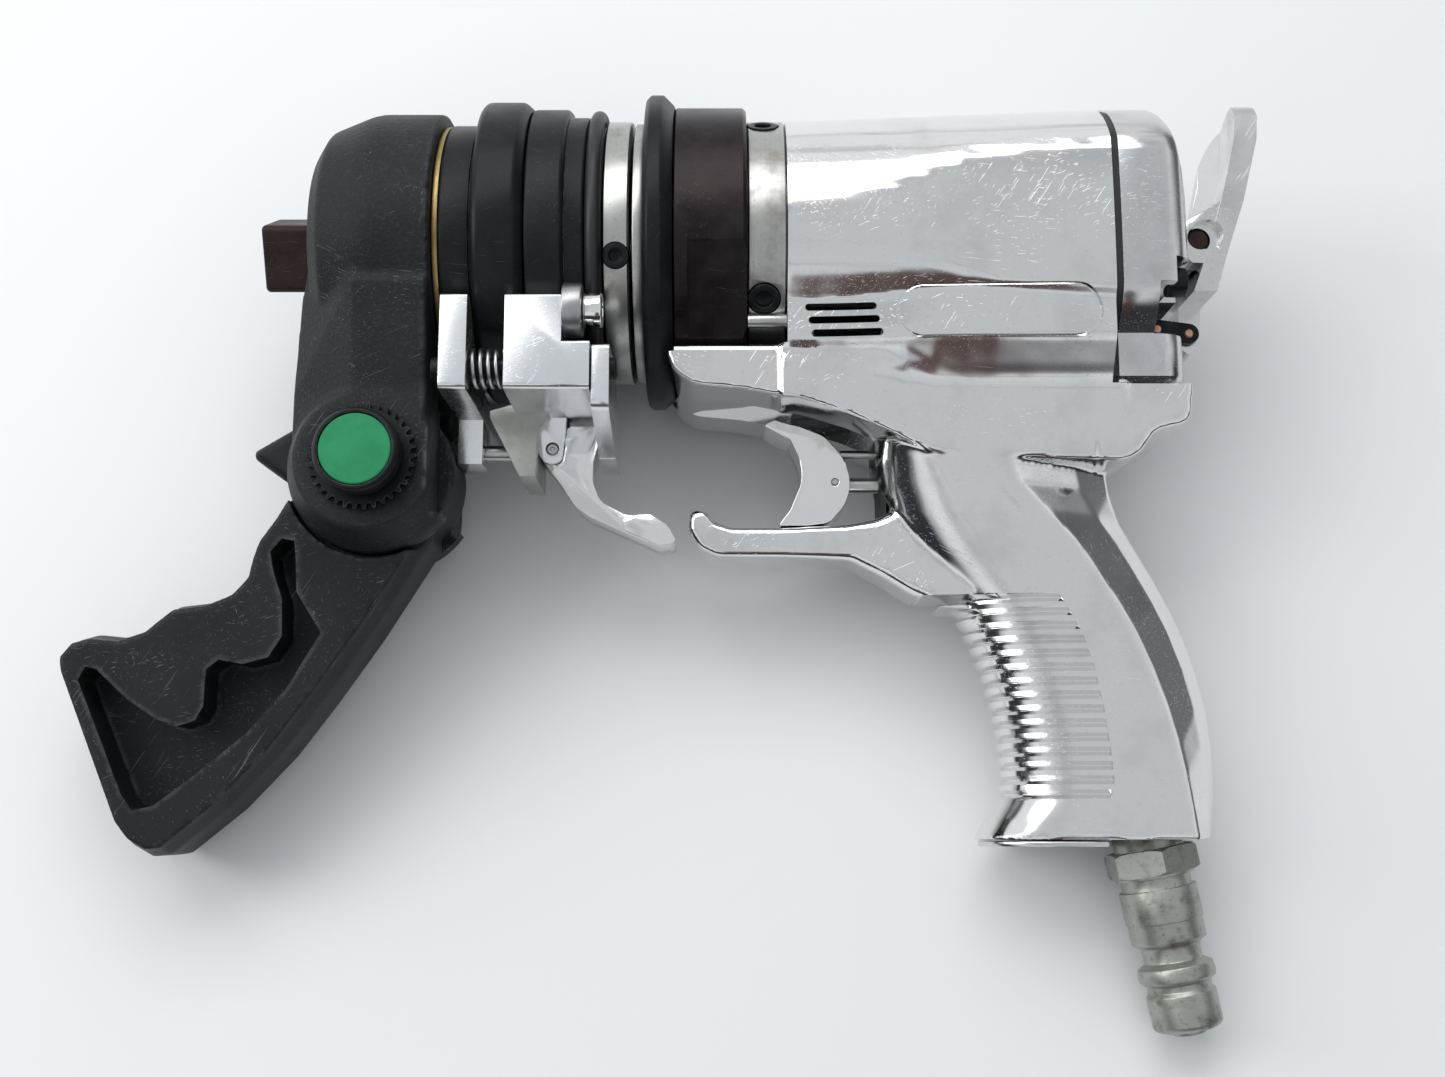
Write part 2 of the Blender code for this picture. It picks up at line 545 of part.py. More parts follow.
def rotor():
    """Slotted rotor with its sun gear cut on the front of its shaft, and its vanes."""
    profile = [(GEAR_REAR, 0.0), (GEAR_REAR, ROTOR_SHAFT_R), (ROTOR_FRONT, ROTOR_SHAFT_R),
               (ROTOR_FRONT, ROTOR_R), (ROTOR_REAR, ROTOR_R), (ROTOR_REAR, ROTOR_SHAFT_R),
               (ROTOR_REAR + PLATE_THICK + 2.0, ROTOR_SHAFT_R), (ROTOR_REAR + PLATE_THICK + 2.0, 0.0)]
    body = finish("rotor", turned(profile), "machined steel")
    combine(body, prism(gear_outline(SUN_TEETH, True), GEAR_FRONT + GAP, GEAR_REAR + 0.5, "X"), "UNION")
    for slot in range(VANE_SLOTS):
        turn = Matrix.Rotation(math.tau * slot / VANE_SLOTS, 4, "X")
        cutter = block((ROTOR_FRONT - 1, -VANE_SLOT_WIDTH / 2, ROTOR_R - VANE_SLOT_DEPTH),
                       (ROTOR_REAR + 1, VANE_SLOT_WIDTH / 2, ROTOR_R + 2))
        bmesh.ops.transform(cutter, matrix=turn, verts=cutter.verts)
        combine(body, cutter)
        half = VANE_SLOT_WIDTH / 2 - 0.2
        vane = block((ROTOR_FRONT + GAP, -half, ROTOR_R - VANE_SLOT_DEPTH + GAP),
                     (ROTOR_REAR - GAP, half, ROTOR_R + 0.1))
        bmesh.ops.transform(vane, matrix=turn, verts=vane.verts)
        finish(f"rotor_vane_{slot + 1}", vane, "gasket")


# ================================================================ motor case body
def motor_rings():
    band_rear = REAR_BAND_FRONT + REAR_BAND_LENGTH
    case = finish("motor_case", turned([(SPACER_FRONT, MOTOR_CASE_IN), (SPACER_FRONT, CASE_OUT),
                                        (REAR_BAND_FRONT, CASE_OUT), (REAR_BAND_FRONT, BAND_R),
                                        (band_rear, BAND_R), (band_rear, CASE_OUT),
                                        (MOTOR_CASE_REAR, CASE_OUT), (MOTOR_CASE_REAR, MOTOR_CASE_IN)]),
                  "machined steel")
    middle = REAR_BAND_FRONT + REAR_BAND_LENGTH * 0.42
    for index, angle in enumerate((38.0, 308.0)):
        seat = around(angle, BAND_R + 0.3, middle)
        outward = Vector((0.0, seat.y, seat.z)).normalized()
        combine(case, screw_hole(SET_SCREW_R + GAP, 6.0, seat, seat + outward))
        finish(f"rear_set_screw_{index + 1}", screw(SET_SCREW_R, SET_SCREW_LENGTH, 2.2, outward, seat),
               "black oxide steel")
    finish("spacer_ring", turned(ring(SPACER_FRONT, SPACER_FRONT + SPACER_LENGTH, RING_BORE, SPACER_R)),
           "machined steel")
    rear = FLANGE_FRONT + FLANGE_LENGTH
    finish("flange_ring", turned([(FLANGE_FRONT, RING_BORE), (FLANGE_FRONT, FLANGE_R - 1.8),
                                  (FLANGE_FRONT + 0.6, FLANGE_R - 0.5), (FLANGE_FRONT + 1.8, FLANGE_R),
                                  (FLANGE_FRONT + 5.0, FLANGE_R), (rear, REAR_COLLAR_R),
                                  (rear, RING_BORE)], steps=RING_STEPS * 2), "black oxide steel")
    collar = finish("rear_collar", turned(ring(REAR_COLLAR_FRONT, REAR_COLLAR_FRONT + REAR_COLLAR_LENGTH,
                                               RING_BORE, REAR_COLLAR_R, 0.8)), "black oxide steel")
    flat = block((REAR_COLLAR_FRONT - 1, -14.0, REAR_COLLAR_R - 2.2),
                 (REAR_BAND_FRONT, 14.0, REAR_COLLAR_R + 5))
    turn = Matrix.Rotation(math.radians(33.0), 4, "X")
    bmesh.ops.transform(flat, matrix=turn, verts=flat.verts)
    combine(collar, flat)


def motor_inside():
    liner = finish("motor_cylinder", turned([(LINER_FRONT, LINER_BORE_R), (LINER_FRONT, 29.7),
                                             (LINER_REAR, 29.7), (LINER_REAR, LINER_BORE_R)]),
                   "machined steel")
    eccentric = turned([(LINER_FRONT - 2, 0.0), (LINER_FRONT - 2, LINER_BORE_R),
                        (LINER_REAR + 2, LINER_BORE_R), (LINER_REAR + 2, 0.0)],
                       centre=(0.0, LINER_OFFSET, 0.0))
    combine(liner, eccentric)
    for name, front in (("front", FRONT_PLATE), ("rear", REAR_PLATE)):
        finish(f"{name}_end_plate", turned(ring(front, front + PLATE_THICK, BEARING_R + GAP, 29.7)),
               "polished aluminium")
        finish(f"{name}_bearing", turned(ring(front + 0.5, front + 0.5 + BEARING_WIDTH, BEARING_BORE_R,
                                              BEARING_R), steps=20), "machined steel")


# ================================================================ housing
def body_section(radius, half, floor):
    """Barrel circle with the straight-sided body hanging from it, as (y, z) points."""
    drop = math.sqrt(radius ** 2 - half ** 2)
    start = math.atan2(half, -drop)
    sweep = 2 * start
    outline = [Vector((floor, half)), Vector((-drop, half))]
    steps = 22
    for step in range(1, steps):
        angle = start - sweep * step / steps
        outline.append(Vector((radius * math.cos(angle), radius * math.sin(angle))))
    outline += [Vector((-drop, -half)), Vector((floor, -half))]
    return outline


def motor_housing():
    barrel = turned([(HOUSING_FRONT, 0.0), (HOUSING_FRONT, BARREL_FRONT_R), (HOUSING_REAR, BARREL_REAR_R),
                     (HOUSING_REAR, 0.0)], steps=40)
    housing = finish("motor_housing", barrel, "polished aluminium")
    shelf_top = -34.8
    inner_front = HOUSING_FRONT + 0.4
    ahead = moved([(114.8, shelf_top), (117.2, -41.8, 4.0), (122.5, -45.8, 4.0), (136.0, -46.8),
                   (152.0, -50.0), (165.0, -54.0), (174.0, -60.0), (188.0, -64.0)], BEHIND_HOUSING)
    ledge = moved([(241.9, -66.6, 9.0), (247.5, -57.8, 5.0), (257.6, -55.4, 4.0),
                   (259.2, BODY_FLOOR - GAP)], BEHIND_CAP)
    body = rounded([(inner_front, -10.0), (inner_front, shelf_top), *ahead, *ledge,
                    (HOUSING_REAR - 0.2, BODY_FLOOR - GAP), (HOUSING_REAR - 0.2, -10.0)])
    combine(housing, prism(body, -BODY_HALF, BODY_HALF, edge=2.0), "UNION")
    grip = rounded(moved([(176.0, -50.0), (176.2, -74.0), (172.0, -79.8), (166.0, -90.2),
                          (180.5, -95.2), (191.5, -103.7), (198.3, -114.9), (203.6, -128.7),
                          (206.8, -141.0), (206.8, -153.0), (198.0, -162.5, 2.0), (199.0, -166.8),
                          (262.0, -166.8), (263.9, -150.0), (263.3, -134.0), (260.6, -122.0),
                          (256.6, -109.0), (250.3, -95.0), (243.6, -83.5), (240.0, -73.0),
                          (243.0, -50.0)], BEHIND_HOUSING))
    combine(housing, prism(grip, -GRIP_HALF, GRIP_HALF, edge=4.0), "UNION")
    guard = rounded(moved([(181.0, -77.0), (173.0, -79.8), (165.0, -81.0), (146.7, -82.0),
                           (131.5, -82.0), (127.8, -79.8), (126.4, -76.6), (121.3, -77.6),
                           (121.6, -83.0), (124.4, -87.5), (128.8, -89.9), (148.0, -90.1),
                           (166.4, -90.6), (181.0, -95.0)], BEHIND_HOUSING))
    combine(housing, prism(guard, -GUARD_HALF, GUARD_HALF, edge=1.8), "UNION")
    combine(housing, prism(circle((0, 0), CASE_OUT + GAP, 40), HOUSING_FRONT - 2, HOUSING_REAR + 2, "X"))
    ahead = FLANGE_FRONT - 9.5
    saddle = turned([(ahead, 0.0), (ahead, FLANGE_R + 0.5), (REAR_COLLAR_FRONT, FLANGE_R + 0.5),
                     (REAR_COLLAR_FRONT, REAR_COLLAR_R + 0.9), (HOUSING_FRONT - 0.05, REAR_COLLAR_R + 0.9),
                     (HOUSING_FRONT - 0.05, 0.0)], steps=40)
    combine(housing, saddle)
    slot = rounded(moved([(110.0, -45.2), (168.0, -45.2, 4.0), (176.6, -56.0, 4.0),
                          (176.6, -79.0, 3.0), (171.0, -81.5), (110.0, -81.5)], BEHIND_HOUSING))
    combine(housing, prism(slot, -SLOT_HALF, SLOT_HALF))
    guide_hole = circle((GUIDE_Y, 0.0), GUIDE_R + GAP, PIN_STEPS)
    mouth = HOUSING_FRONT + 23.7
    combine(housing, prism(guide_hole, mouth, mouth + GUIDE_REACH + 4.0, "X"))
    combine(housing, prism(circle((THROTTLE_Y, 0.0), THROTTLE_R + GAP, PIN_STEPS), mouth,
                           mouth + THROTTLE_REACH + 6.0, "X"))
    combine(housing, inlet_shape([(-105.0, 0.0), (-105.0, 6.0), (-12.0, 6.0), (-12.0, 9.6), (5.0, 9.6),
                                  (5.0, 0.0)]))


def inlet_shape(profile, steps=20):
    """Turned shape on the inlet's axis: 0 at the foot of the grip, positive outwards."""
    bm = turned(profile, "Y", steps=steps)
    bmesh.ops.scale(bm, verts=bm.verts, vec=(1, -1, 1))
    bmesh.ops.recalc_face_normals(bm, faces=bm.faces)
    turn = Matrix.Rotation(math.radians(INLET_TILT), 4, "Z")
    bmesh.ops.transform(bm, matrix=Matrix.Translation((*INLET, 0.0)) @ turn, verts=bm.verts)
    return bm


def rear_end():
    section = body_section(BARREL_REAR_R, BODY_HALF - 0.5, BODY_FLOOR)
    gasket = finish("cap_gasket", prism(section, GASKET_FRONT, GASKET_FRONT + GASKET_THICK, "X"), "gasket")
    combine(gasket, prism(circle((0, 0), CASE_OUT - 1.0, 24), GASKET_FRONT - 1, CAP_FRONT, "X"))
    small = inset(section, 2.5)
    tight = inset(section, 6.0)
    shell = layered([(CAP_FRONT, section), (CAP_REAR - 7, section), (CAP_REAR - 2.5, small),
                     (CAP_REAR, tight)], "X")
    slope = Vector((39.0, 7.6, 0.0)).normalized()
    bmesh.ops.bisect_plane(shell, geom=shell.verts[:] + shell.edges[:] + shell.faces[:],
                           plane_co=(CAP_REAR - 6.2, 37.0, 0.0), plane_no=slope, clear_outer=True)
    bmesh.ops.holes_fill(shell, edges=[edge for edge in shell.edges if edge.is_boundary], sides=0)
    bmesh.ops.recalc_face_normals(shell, faces=shell.faces)
    cap = finish("rear_cap", shell, "polished aluminium")
    lug = rounded([(CAP_REAR - 6, -LUG_R - 4), (LEVER_PIVOT[0] - 2, LEVER_PIVOT[1] - LUG_R),
                   (LEVER_PIVOT[0] + 3, LEVER_PIVOT[1] - 6.6), (LEVER_PIVOT[0] + 6.5, LEVER_PIVOT[1] - 1),
                   (LEVER_PIVOT[0] + 3, LEVER_PIVOT[1] + 6.6), (LEVER_PIVOT[0] - 3, LEVER_PIVOT[1] + 7),
                   (CAP_REAR - 6, LEVER_PIVOT[1] + 9)])
    cheek_gap = LEVER_HALF - LEVER_CHEEK - 0.5
    combine(cap, prism(lug, -cheek_gap, cheek_gap), "UNION")
    combine(cap, prism(circle(LEVER_PIVOT, LEVER_PIN_R + GAP, PIN_STEPS), -30.0, 30.0))
    combine(cap, block((CAP_REAR - 9.2, SPOOL_Y - 6.6, -16.0), (CAP_REAR + 9, SPOOL_Y + 5.4, 50.0)))
    combine(cap, block((CAP_REAR - 4.6, SPOOL_Y + 1.0, 16.0), (CAP_REAR + 9, -12.6, 50.0)))
    combine(cap, prism(circle((SPOOL_Y, 0.0), SPOOL_R + GAP, PIN_STEPS), CAP_FRONT - 2, CAP_REAR - 5, "X"))
    hollow = turned([(CAP_FRONT - 1, 0.0), (CAP_FRONT - 1, 20.0), (CAP_FRONT + 7, 20.0),
                     (CAP_FRONT + 7, 0.0)], steps=20)
    combine(cap, hollow)
    top_seat, side_seat = CAP_REAR - 6.5, CAP_REAR - 4.6
    places = ((30.0, 17.0, top_seat), (30.0, -17.0, top_seat), (-17.6, 27.0, side_seat),
              (-17.6, -27.0, side_seat))
    for index, (y, z, seat) in enumerate(places):
        combine(cap, prism(circle((y, z), CAP_SCREW_R + 1.4, PIN_STEPS), seat, CAP_REAR + 5, "X"))
        finish(f"cap_screw_{index + 1}", screw(CAP_SCREW_R, CAP_SCREW_HEAD - 1.2, 2.2, (1, 0, 0),
                                               (seat + CAP_SCREW_HEAD - 1.0, y, z)), "black oxide steel")
    pin = turned([(-LEVER_HALF + 2.5, 0.0), (-LEVER_HALF + 2.5, LEVER_PIN_R),
                  (LEVER_HALF - 2.5, LEVER_PIN_R), (LEVER_HALF - 2.5, 0.0)], "Z", (*LEVER_PIVOT, 0.0),
                 PIN_STEPS)
    finish("lever_pin", pin, "machined steel")


def air_inlet():
    shank = -11.0
    start = 0.8
    profile = [(shank, 0.0), (shank, 9.2), (start, 9.2), (start, INLET_BODY_R),
               (25.0, INLET_BODY_R), (26.5, INLET_NECK_R), (31.0, INLET_NECK_R), (32.5, INLET_RING_R),
               (36.5, INLET_RING_R), (38.0, INLET_NECK_R + 0.8), (39.5, INLET_TIP_R),
               (INLET_LENGTH - 1.5, INLET_TIP_R), (INLET_LENGTH, INLET_TIP_R - 1.5), (INLET_LENGTH, 0.0)]
    nipple = finish("air_nipple", inlet_shape(profile), "zinc")
    hexagon = circle((0, 0), INLET_HEX / math.sqrt(3), 6, math.radians(30))
    nut = layered([(-start - 0.1, hexagon), (-start - 6.9, hexagon)], "Y")
    turn = Matrix.Rotation(math.radians(INLET_TILT), 4, "Z")
    bmesh.ops.transform(nut, matrix=Matrix.Translation((*INLET, 0.0)) @ turn, verts=nut.verts)
    combine(nipple, nut, "UNION")
    combine(nipple, inlet_shape([(shank - 1, 0.0), (shank - 1, INLET_BORE_R), (INLET_LENGTH + 1,
                                INLET_BORE_R), (INLET_LENGTH + 1, 0.0)], 20))


# ================================================================ controls
def trigger():
    outline = rounded(moved([(141.8, -52.8, 1.0), (145.4, -51.3, 1.0), (152.5, -53.2),
                             (159.4, -56.0, 5.0), (164.9, -62.6, 6.0), (166.5, -70.0, 6.0),
                             (164.7, -75.6, 6.0), (160.3, -80.4, 3.0), (154.4, -81.2),
                             (146.1, -81.2, 0.5), (149.5, -76.8), (152.9, -68.5, 5.0),
                             (152.3, -62.6, 5.0), (149.6, -56.9)], BEHIND_HOUSING))
    front = HOUSING_FRONT + 18.7
    pivot = (front - 2.0, (GUIDE_Y + THROTTLE_Y) / 2, 0.0)
    finish("trigger", prism(outline, -TRIGGER_HALF, TRIGGER_HALF, edge=0.8), "polished aluminium", pivot)
    for name, y, radius, reach in (("guide_pin", GUIDE_Y, GUIDE_R, GUIDE_REACH),
                                   ("throttle_rod", THROTTLE_Y, THROTTLE_R, THROTTLE_REACH)):
        rod = prism(circle((y, 0.0), radius, PIN_STEPS), front, front + reach, "X")
        finish(name, rod, "machined steel", (front, y, 0.0))


def reverse_lever():
    """Paddle lever astride the cap's lug, with the tail that moves the spool."""
    side = rounded(moved([(260.2, 9.5), (264.9, 23.0), (269.8, 34.0), (276.2, 43.2, 2.0),
                          (280.4, 43.6, 2.0), (281.6, 34.0), (281.2, 27.0), (278.6, 18.5),
                          (276.2, 9.0), (270.6, -7.2), (267.0, -18.8), (266.2, -28.0),
                          (263.6, -32.0, 2.0), (260.4, -29.0), (260.6, -18.0), (259.4, -8.0, 3.0),
                          (257.8, -2.0), (258.4, 4.0)], BEHIND_CAP))
    lever = finish("reverse_lever", prism(side, -LEVER_HALF, LEVER_HALF, edge=1.0), "polished aluminium",
                   (*LEVER_PIVOT, 0.0))
    shoulder = 24.0
    for mirror in (-1, 1):
        arc = [Vector((45.0 + 5, mirror * (LEVER_HALF + 4))), Vector((shoulder, mirror * (LEVER_HALF + 4))),
               Vector((shoulder, mirror * LEVER_HALF * 0.995))]
        for step in range(1, 7):
            angle = math.radians(90.0 * step / 6)
            arc.append(Vector((shoulder + 20.0 * math.sin(angle),
                               mirror * LEVER_HALF * (math.cos(angle) - 0.004))))
        arc.append(Vector((50.0, 0.0)))
        combine(lever, prism(arc, CAP_REAR - 17, CAP_REAR + 43, "X"))
    inner = LEVER_HALF - LEVER_CHEEK
    notch = rounded(moved([(250.0, 8.4), (262.0, 8.4, 4.0), (274.0, 6.0), (272.0, -6.0),
                           (268.0, -14.0, 3.0), (250.0, -14.0)], BEHIND_CAP))
    combine(lever, prism(notch, -inner, inner))
    tail = 5.0
    for mirror in (-1, 1):
        low, high = sorted((mirror * tail, mirror * (LEVER_HALF + 2)))
        combine(lever, block((CAP_REAR - 7, -40.0, low), (CAP_REAR + 28, -20.5, high)))
    combine(lever, prism(circle(LEVER_PIVOT, LEVER_PIN_R + GAP, PIN_STEPS), -30.0, 30.0))


def reversing_spool():
    """Valve spool in the cap, with the link plate that joins it to the lever's tail."""
    tang = CAP_REAR - 9.3
    profile = [(CAP_FRONT - 22, 0.0), (CAP_FRONT - 22, SPOOL_R), (CAP_FRONT - 14, SPOOL_R),
               (CAP_FRONT - 13, 2.4), (CAP_FRONT - 6, 2.4), (CAP_FRONT - 5, SPOOL_R), (tang + 4, SPOOL_R),
               (tang + 4, 0.0)]
    spool = finish("reversing_spool", turned(profile, centre=(0.0, SPOOL_Y, 0.0), steps=PIN_STEPS),
                   "machined steel", (CAP_FRONT, SPOOL_Y, 0.0))
    combine(spool, block((tang + 2, SPOOL_Y - 2.4, -3.2), (tang + 9.2, SPOOL_Y + 2.4, 3.2)), "UNION")
    inner = 5.0 + GAP
    near, far = (tang + 6.4, SPOOL_Y + 0.6), (LEVER_PIVOT[0] - 0.6, SPOOL_Y - 0.6)
    outline = []
    for end, start in ((near, 90), (far, -90)):
        for step in range(6):
            angle = math.radians(start + 180 * step / 5)
            outline.append(Vector((end[0] + 3.0 * math.cos(angle), end[1] + 3.0 * math.sin(angle))))
    finish("link_plate", prism(outline, inner, inner + LINK_THICK), "black oxide steel",
           (CAP_FRONT, SPOOL_Y, 0.0))


# ================================================================ latch
def saddle_section(top, far_top, floor, corner):
    """U-shaped (y, z) section that straddles the barrel from below, lower on the bench side."""
    brink, far_brink = (math.sqrt(LATCH_CLEAR ** 2 - level ** 2) for level in (top, far_top))
    start, end = math.atan2(brink, top), math.tau - math.atan2(far_brink, far_top)
    outline = [Vector((top, LATCH_HALF)), Vector((top, brink))]
    steps = 8
    for step in range(1, steps):
        angle = start + (end - start) * step / steps
        outline.append(Vector((LATCH_CLEAR * math.cos(angle), LATCH_CLEAR * math.sin(angle))))
    outline += [Vector((far_top, -far_brink)), Vector((far_top, -LATCH_FAR)),
                Vector((floor + corner, -LATCH_FAR)), Vector((floor, -LATCH_FAR + corner)),
                Vector((floor, LATCH_HALF - corner)), Vector((floor + corner, LATCH_HALF))]
    return outline


def latch_parts():
    rod_hole = circle(LATCH_ROD, LATCH_ROD_R + GAP, PIN_STEPS)
    pin_hole = circle((LOCK_PIN_Y, 0.0), LOCK_PIN_R + GAP, PIN_STEPS)
    section = saddle_section(LATCH_TOP, LATCH_FAR_TOP, LATCH_FLOOR, 2.0)
    plate = finish("latch_plate", prism(section, LATCH_LEFT, LATCH_RIGHT, "X"), "polished aluminium",
                   (LATCH_LEFT, LOCK_PIN_Y, 0.0))
    combine(plate, block((LATCH_LEFT + 0.1, LOCK_PIN_Y - 4.5, -7.0),
                         (LATCH_RIGHT - 0.1, LATCH_FLOOR + 4.9, 7.0)), "UNION")
    combine(plate, prism(rod_hole, LATCH_LEFT - 2, LATCH_RIGHT + 2, "X"))
    combine(plate, prism(pin_hole, LATCH_LEFT - 2, LATCH_RIGHT + 2, "X"))

    catch = finish("catch_block", prism(section, BLOCK_LEFT, BLOCK_STEP, "X"), "polished aluminium")
    lower = saddle_section(LATCH_FLOOR + 12.9, LATCH_FLOOR + 12.9, LATCH_FLOOR, 2.0)
    combine(catch, prism(lower, BLOCK_STEP - 1.0, BLOCK_RIGHT, "X"), "UNION")
    shift = (BLOCK_LEFT - DRAWN_BLOCK, LATCH_FLOOR - DRAWN_FLOOR)
    leg = rounded(moved([(73.9, -47.9), (66.5, -50.1), (66.5, -51.9), (75.0, -68.5), (79.4, -68.5),
                         (79.6, -47.9)], *shift))
    combine(catch, prism(leg, -12.0, 14.0), "UNION")
    combine(catch, prism(rod_hole, BLOCK_LEFT - 2, BLOCK_RIGHT + 2, "X"))
    combine(catch, prism(circle(LATCH_ROD, SPRING_R + SPRING_WIRE + GAP, PIN_STEPS), BLOCK_LEFT - 2,
                         BLOCK_LEFT + LATCH_TRAVEL + GAP, "X"))
    combine(catch, prism(pin_hole, BLOCK_LEFT - 13.7, BLOCK_LEFT + 10.3, "X"))
    ears = rounded(moved([(79.0, -47.9), (79.0, -60.0), (81.5, -64.0, 2.0), (86.0, -63.0, 2.0),
                          (87.6, -47.9)], *shift))
    for mirror in (-1, 1):
        low, high = sorted((mirror * (FINGER_HALF + 0.4), mirror * (FINGER_HALF + 3.4)))
        combine(catch, prism(ears, low, high), "UNION")
    combine(catch, prism(circle(FINGER_PIVOT, FINGER_PIN_R + GAP, PIN_STEPS), -20.0, 20.0))

    side = LATCH_HALF - DRAWN_SIDE
    arm = rounded([(LATCH_FLOOR + 8.3, 8.0), (LATCH_FLOOR + 12.6, 20.0 + side),
                   (LATCH_FLOOR + 12.6, LATCH_HALF - 1.5, 1.5), (LATCH_FLOOR - 4.6, LATCH_HALF - 1.5, 3.0),
                   (LATCH_FLOOR - 11.6, 8.0)])
    yoke = finish("latch_yoke", prism(arm, YOKE_LEFT, YOKE_LEFT + YOKE_THICK, "X"), "polished aluminium",
                  (YOKE_LEFT, LOCK_PIN_Y, 0.0))
    combine(yoke, block((YOKE_LEFT + 0.1, LATCH_FLOOR - 11.6, -12.0),
                        (YOKE_LEFT + YOKE_THICK - 0.1, LATCH_FLOOR + 6.4, 9.0)), "UNION")
    combine(yoke, prism(rod_hole, YOKE_LEFT - 2, YOKE_LEFT + YOKE_THICK + 2, "X"))

    finish("latch_rod", prism(circle(LATCH_ROD, LATCH_ROD_R, PIN_STEPS), LATCH_LEFT - 3.0,
                              YOKE_LEFT + YOKE_THICK + 1.5, "X"), "black oxide steel",
           (LATCH_LEFT, *LATCH_ROD))
    finish("lock_pin", prism(circle((LOCK_PIN_Y, 0.0), LOCK_PIN_R, PIN_STEPS), LATCH_LEFT - 0.7,
                             BLOCK_LEFT + 2.8, "X"), "machined steel", (LATCH_LEFT, LOCK_PIN_Y, 0.0))
    finish("latch_spring", coil(LATCH_RIGHT + GAP, BLOCK_LEFT - GAP, SPRING_R, SPRING_WIRE, LATCH_ROD, 3),
           "machined steel", (LATCH_RIGHT, *LATCH_ROD))

    front = BLOCK_STEP + 0.4
    finish("catch_roller", prism(circle(ROLLER, ROLLER_R, 20), front, front + ROLLER_WIDTH, "X", 0.5),
           "machined steel")
    head = front + ROLLER_WIDTH + GAP
    finish("roller_screw", screw(4.6, 5.0, 2.2, (1, 0, 0), (head + 5.0, *ROLLER)), "machined steel")


def finger_lever():
    shift = (BLOCK_LEFT - DRAWN_BLOCK, LATCH_FLOOR - DRAWN_FLOOR)
    outline = rounded(moved([(88.3, -52.6), (96.0, -52.6), (96.0, -57.0), (94.4, -62.6),
                             (94.6, -68.5, 4.0), (97.0, -74.2, 4.0), (104.0, -78.3), (108.0, -78.6),
                             (115.0, -80.4, 3.0), (118.6, -86.0, 1.5), (113.5, -86.9), (102.4, -82.2),
                             (94.1, -78.5), (89.9, -75.6, 4.0), (85.6, -68.5), (81.0, -62.6, 3.0),
                             (80.2, -60.0, 2.0), (82.2, -55.4, 2.0)], *shift))
    pivot = (*FINGER_PIVOT, 0.0)
    lever = finish("finger_lever", prism(outline, -FINGER_HALF, FINGER_HALF, edge=0.5),
                   "polished aluminium", pivot)
    pad = rounded(moved([(103.0, -79.4), (108.0, -79.2), (114.6, -80.9, 3.0), (118.0, -85.6, 1.5),
                         (113.5, -86.4), (104.0, -82.2)], *shift))
    combine(lever, prism(pad, -9.0, 9.0, edge=0.6), "UNION")
    combine(lever, prism(circle(FINGER_PIVOT, FINGER_PIN_R + GAP, PIN_STEPS), -20.0, 20.0))
    finish("finger_pin", prism(circle(FINGER_PIVOT, FINGER_PIN_R, PIN_STEPS), -FINGER_HALF - 3.2,
                               FINGER_HALF + 3.2), "machined steel", pivot)


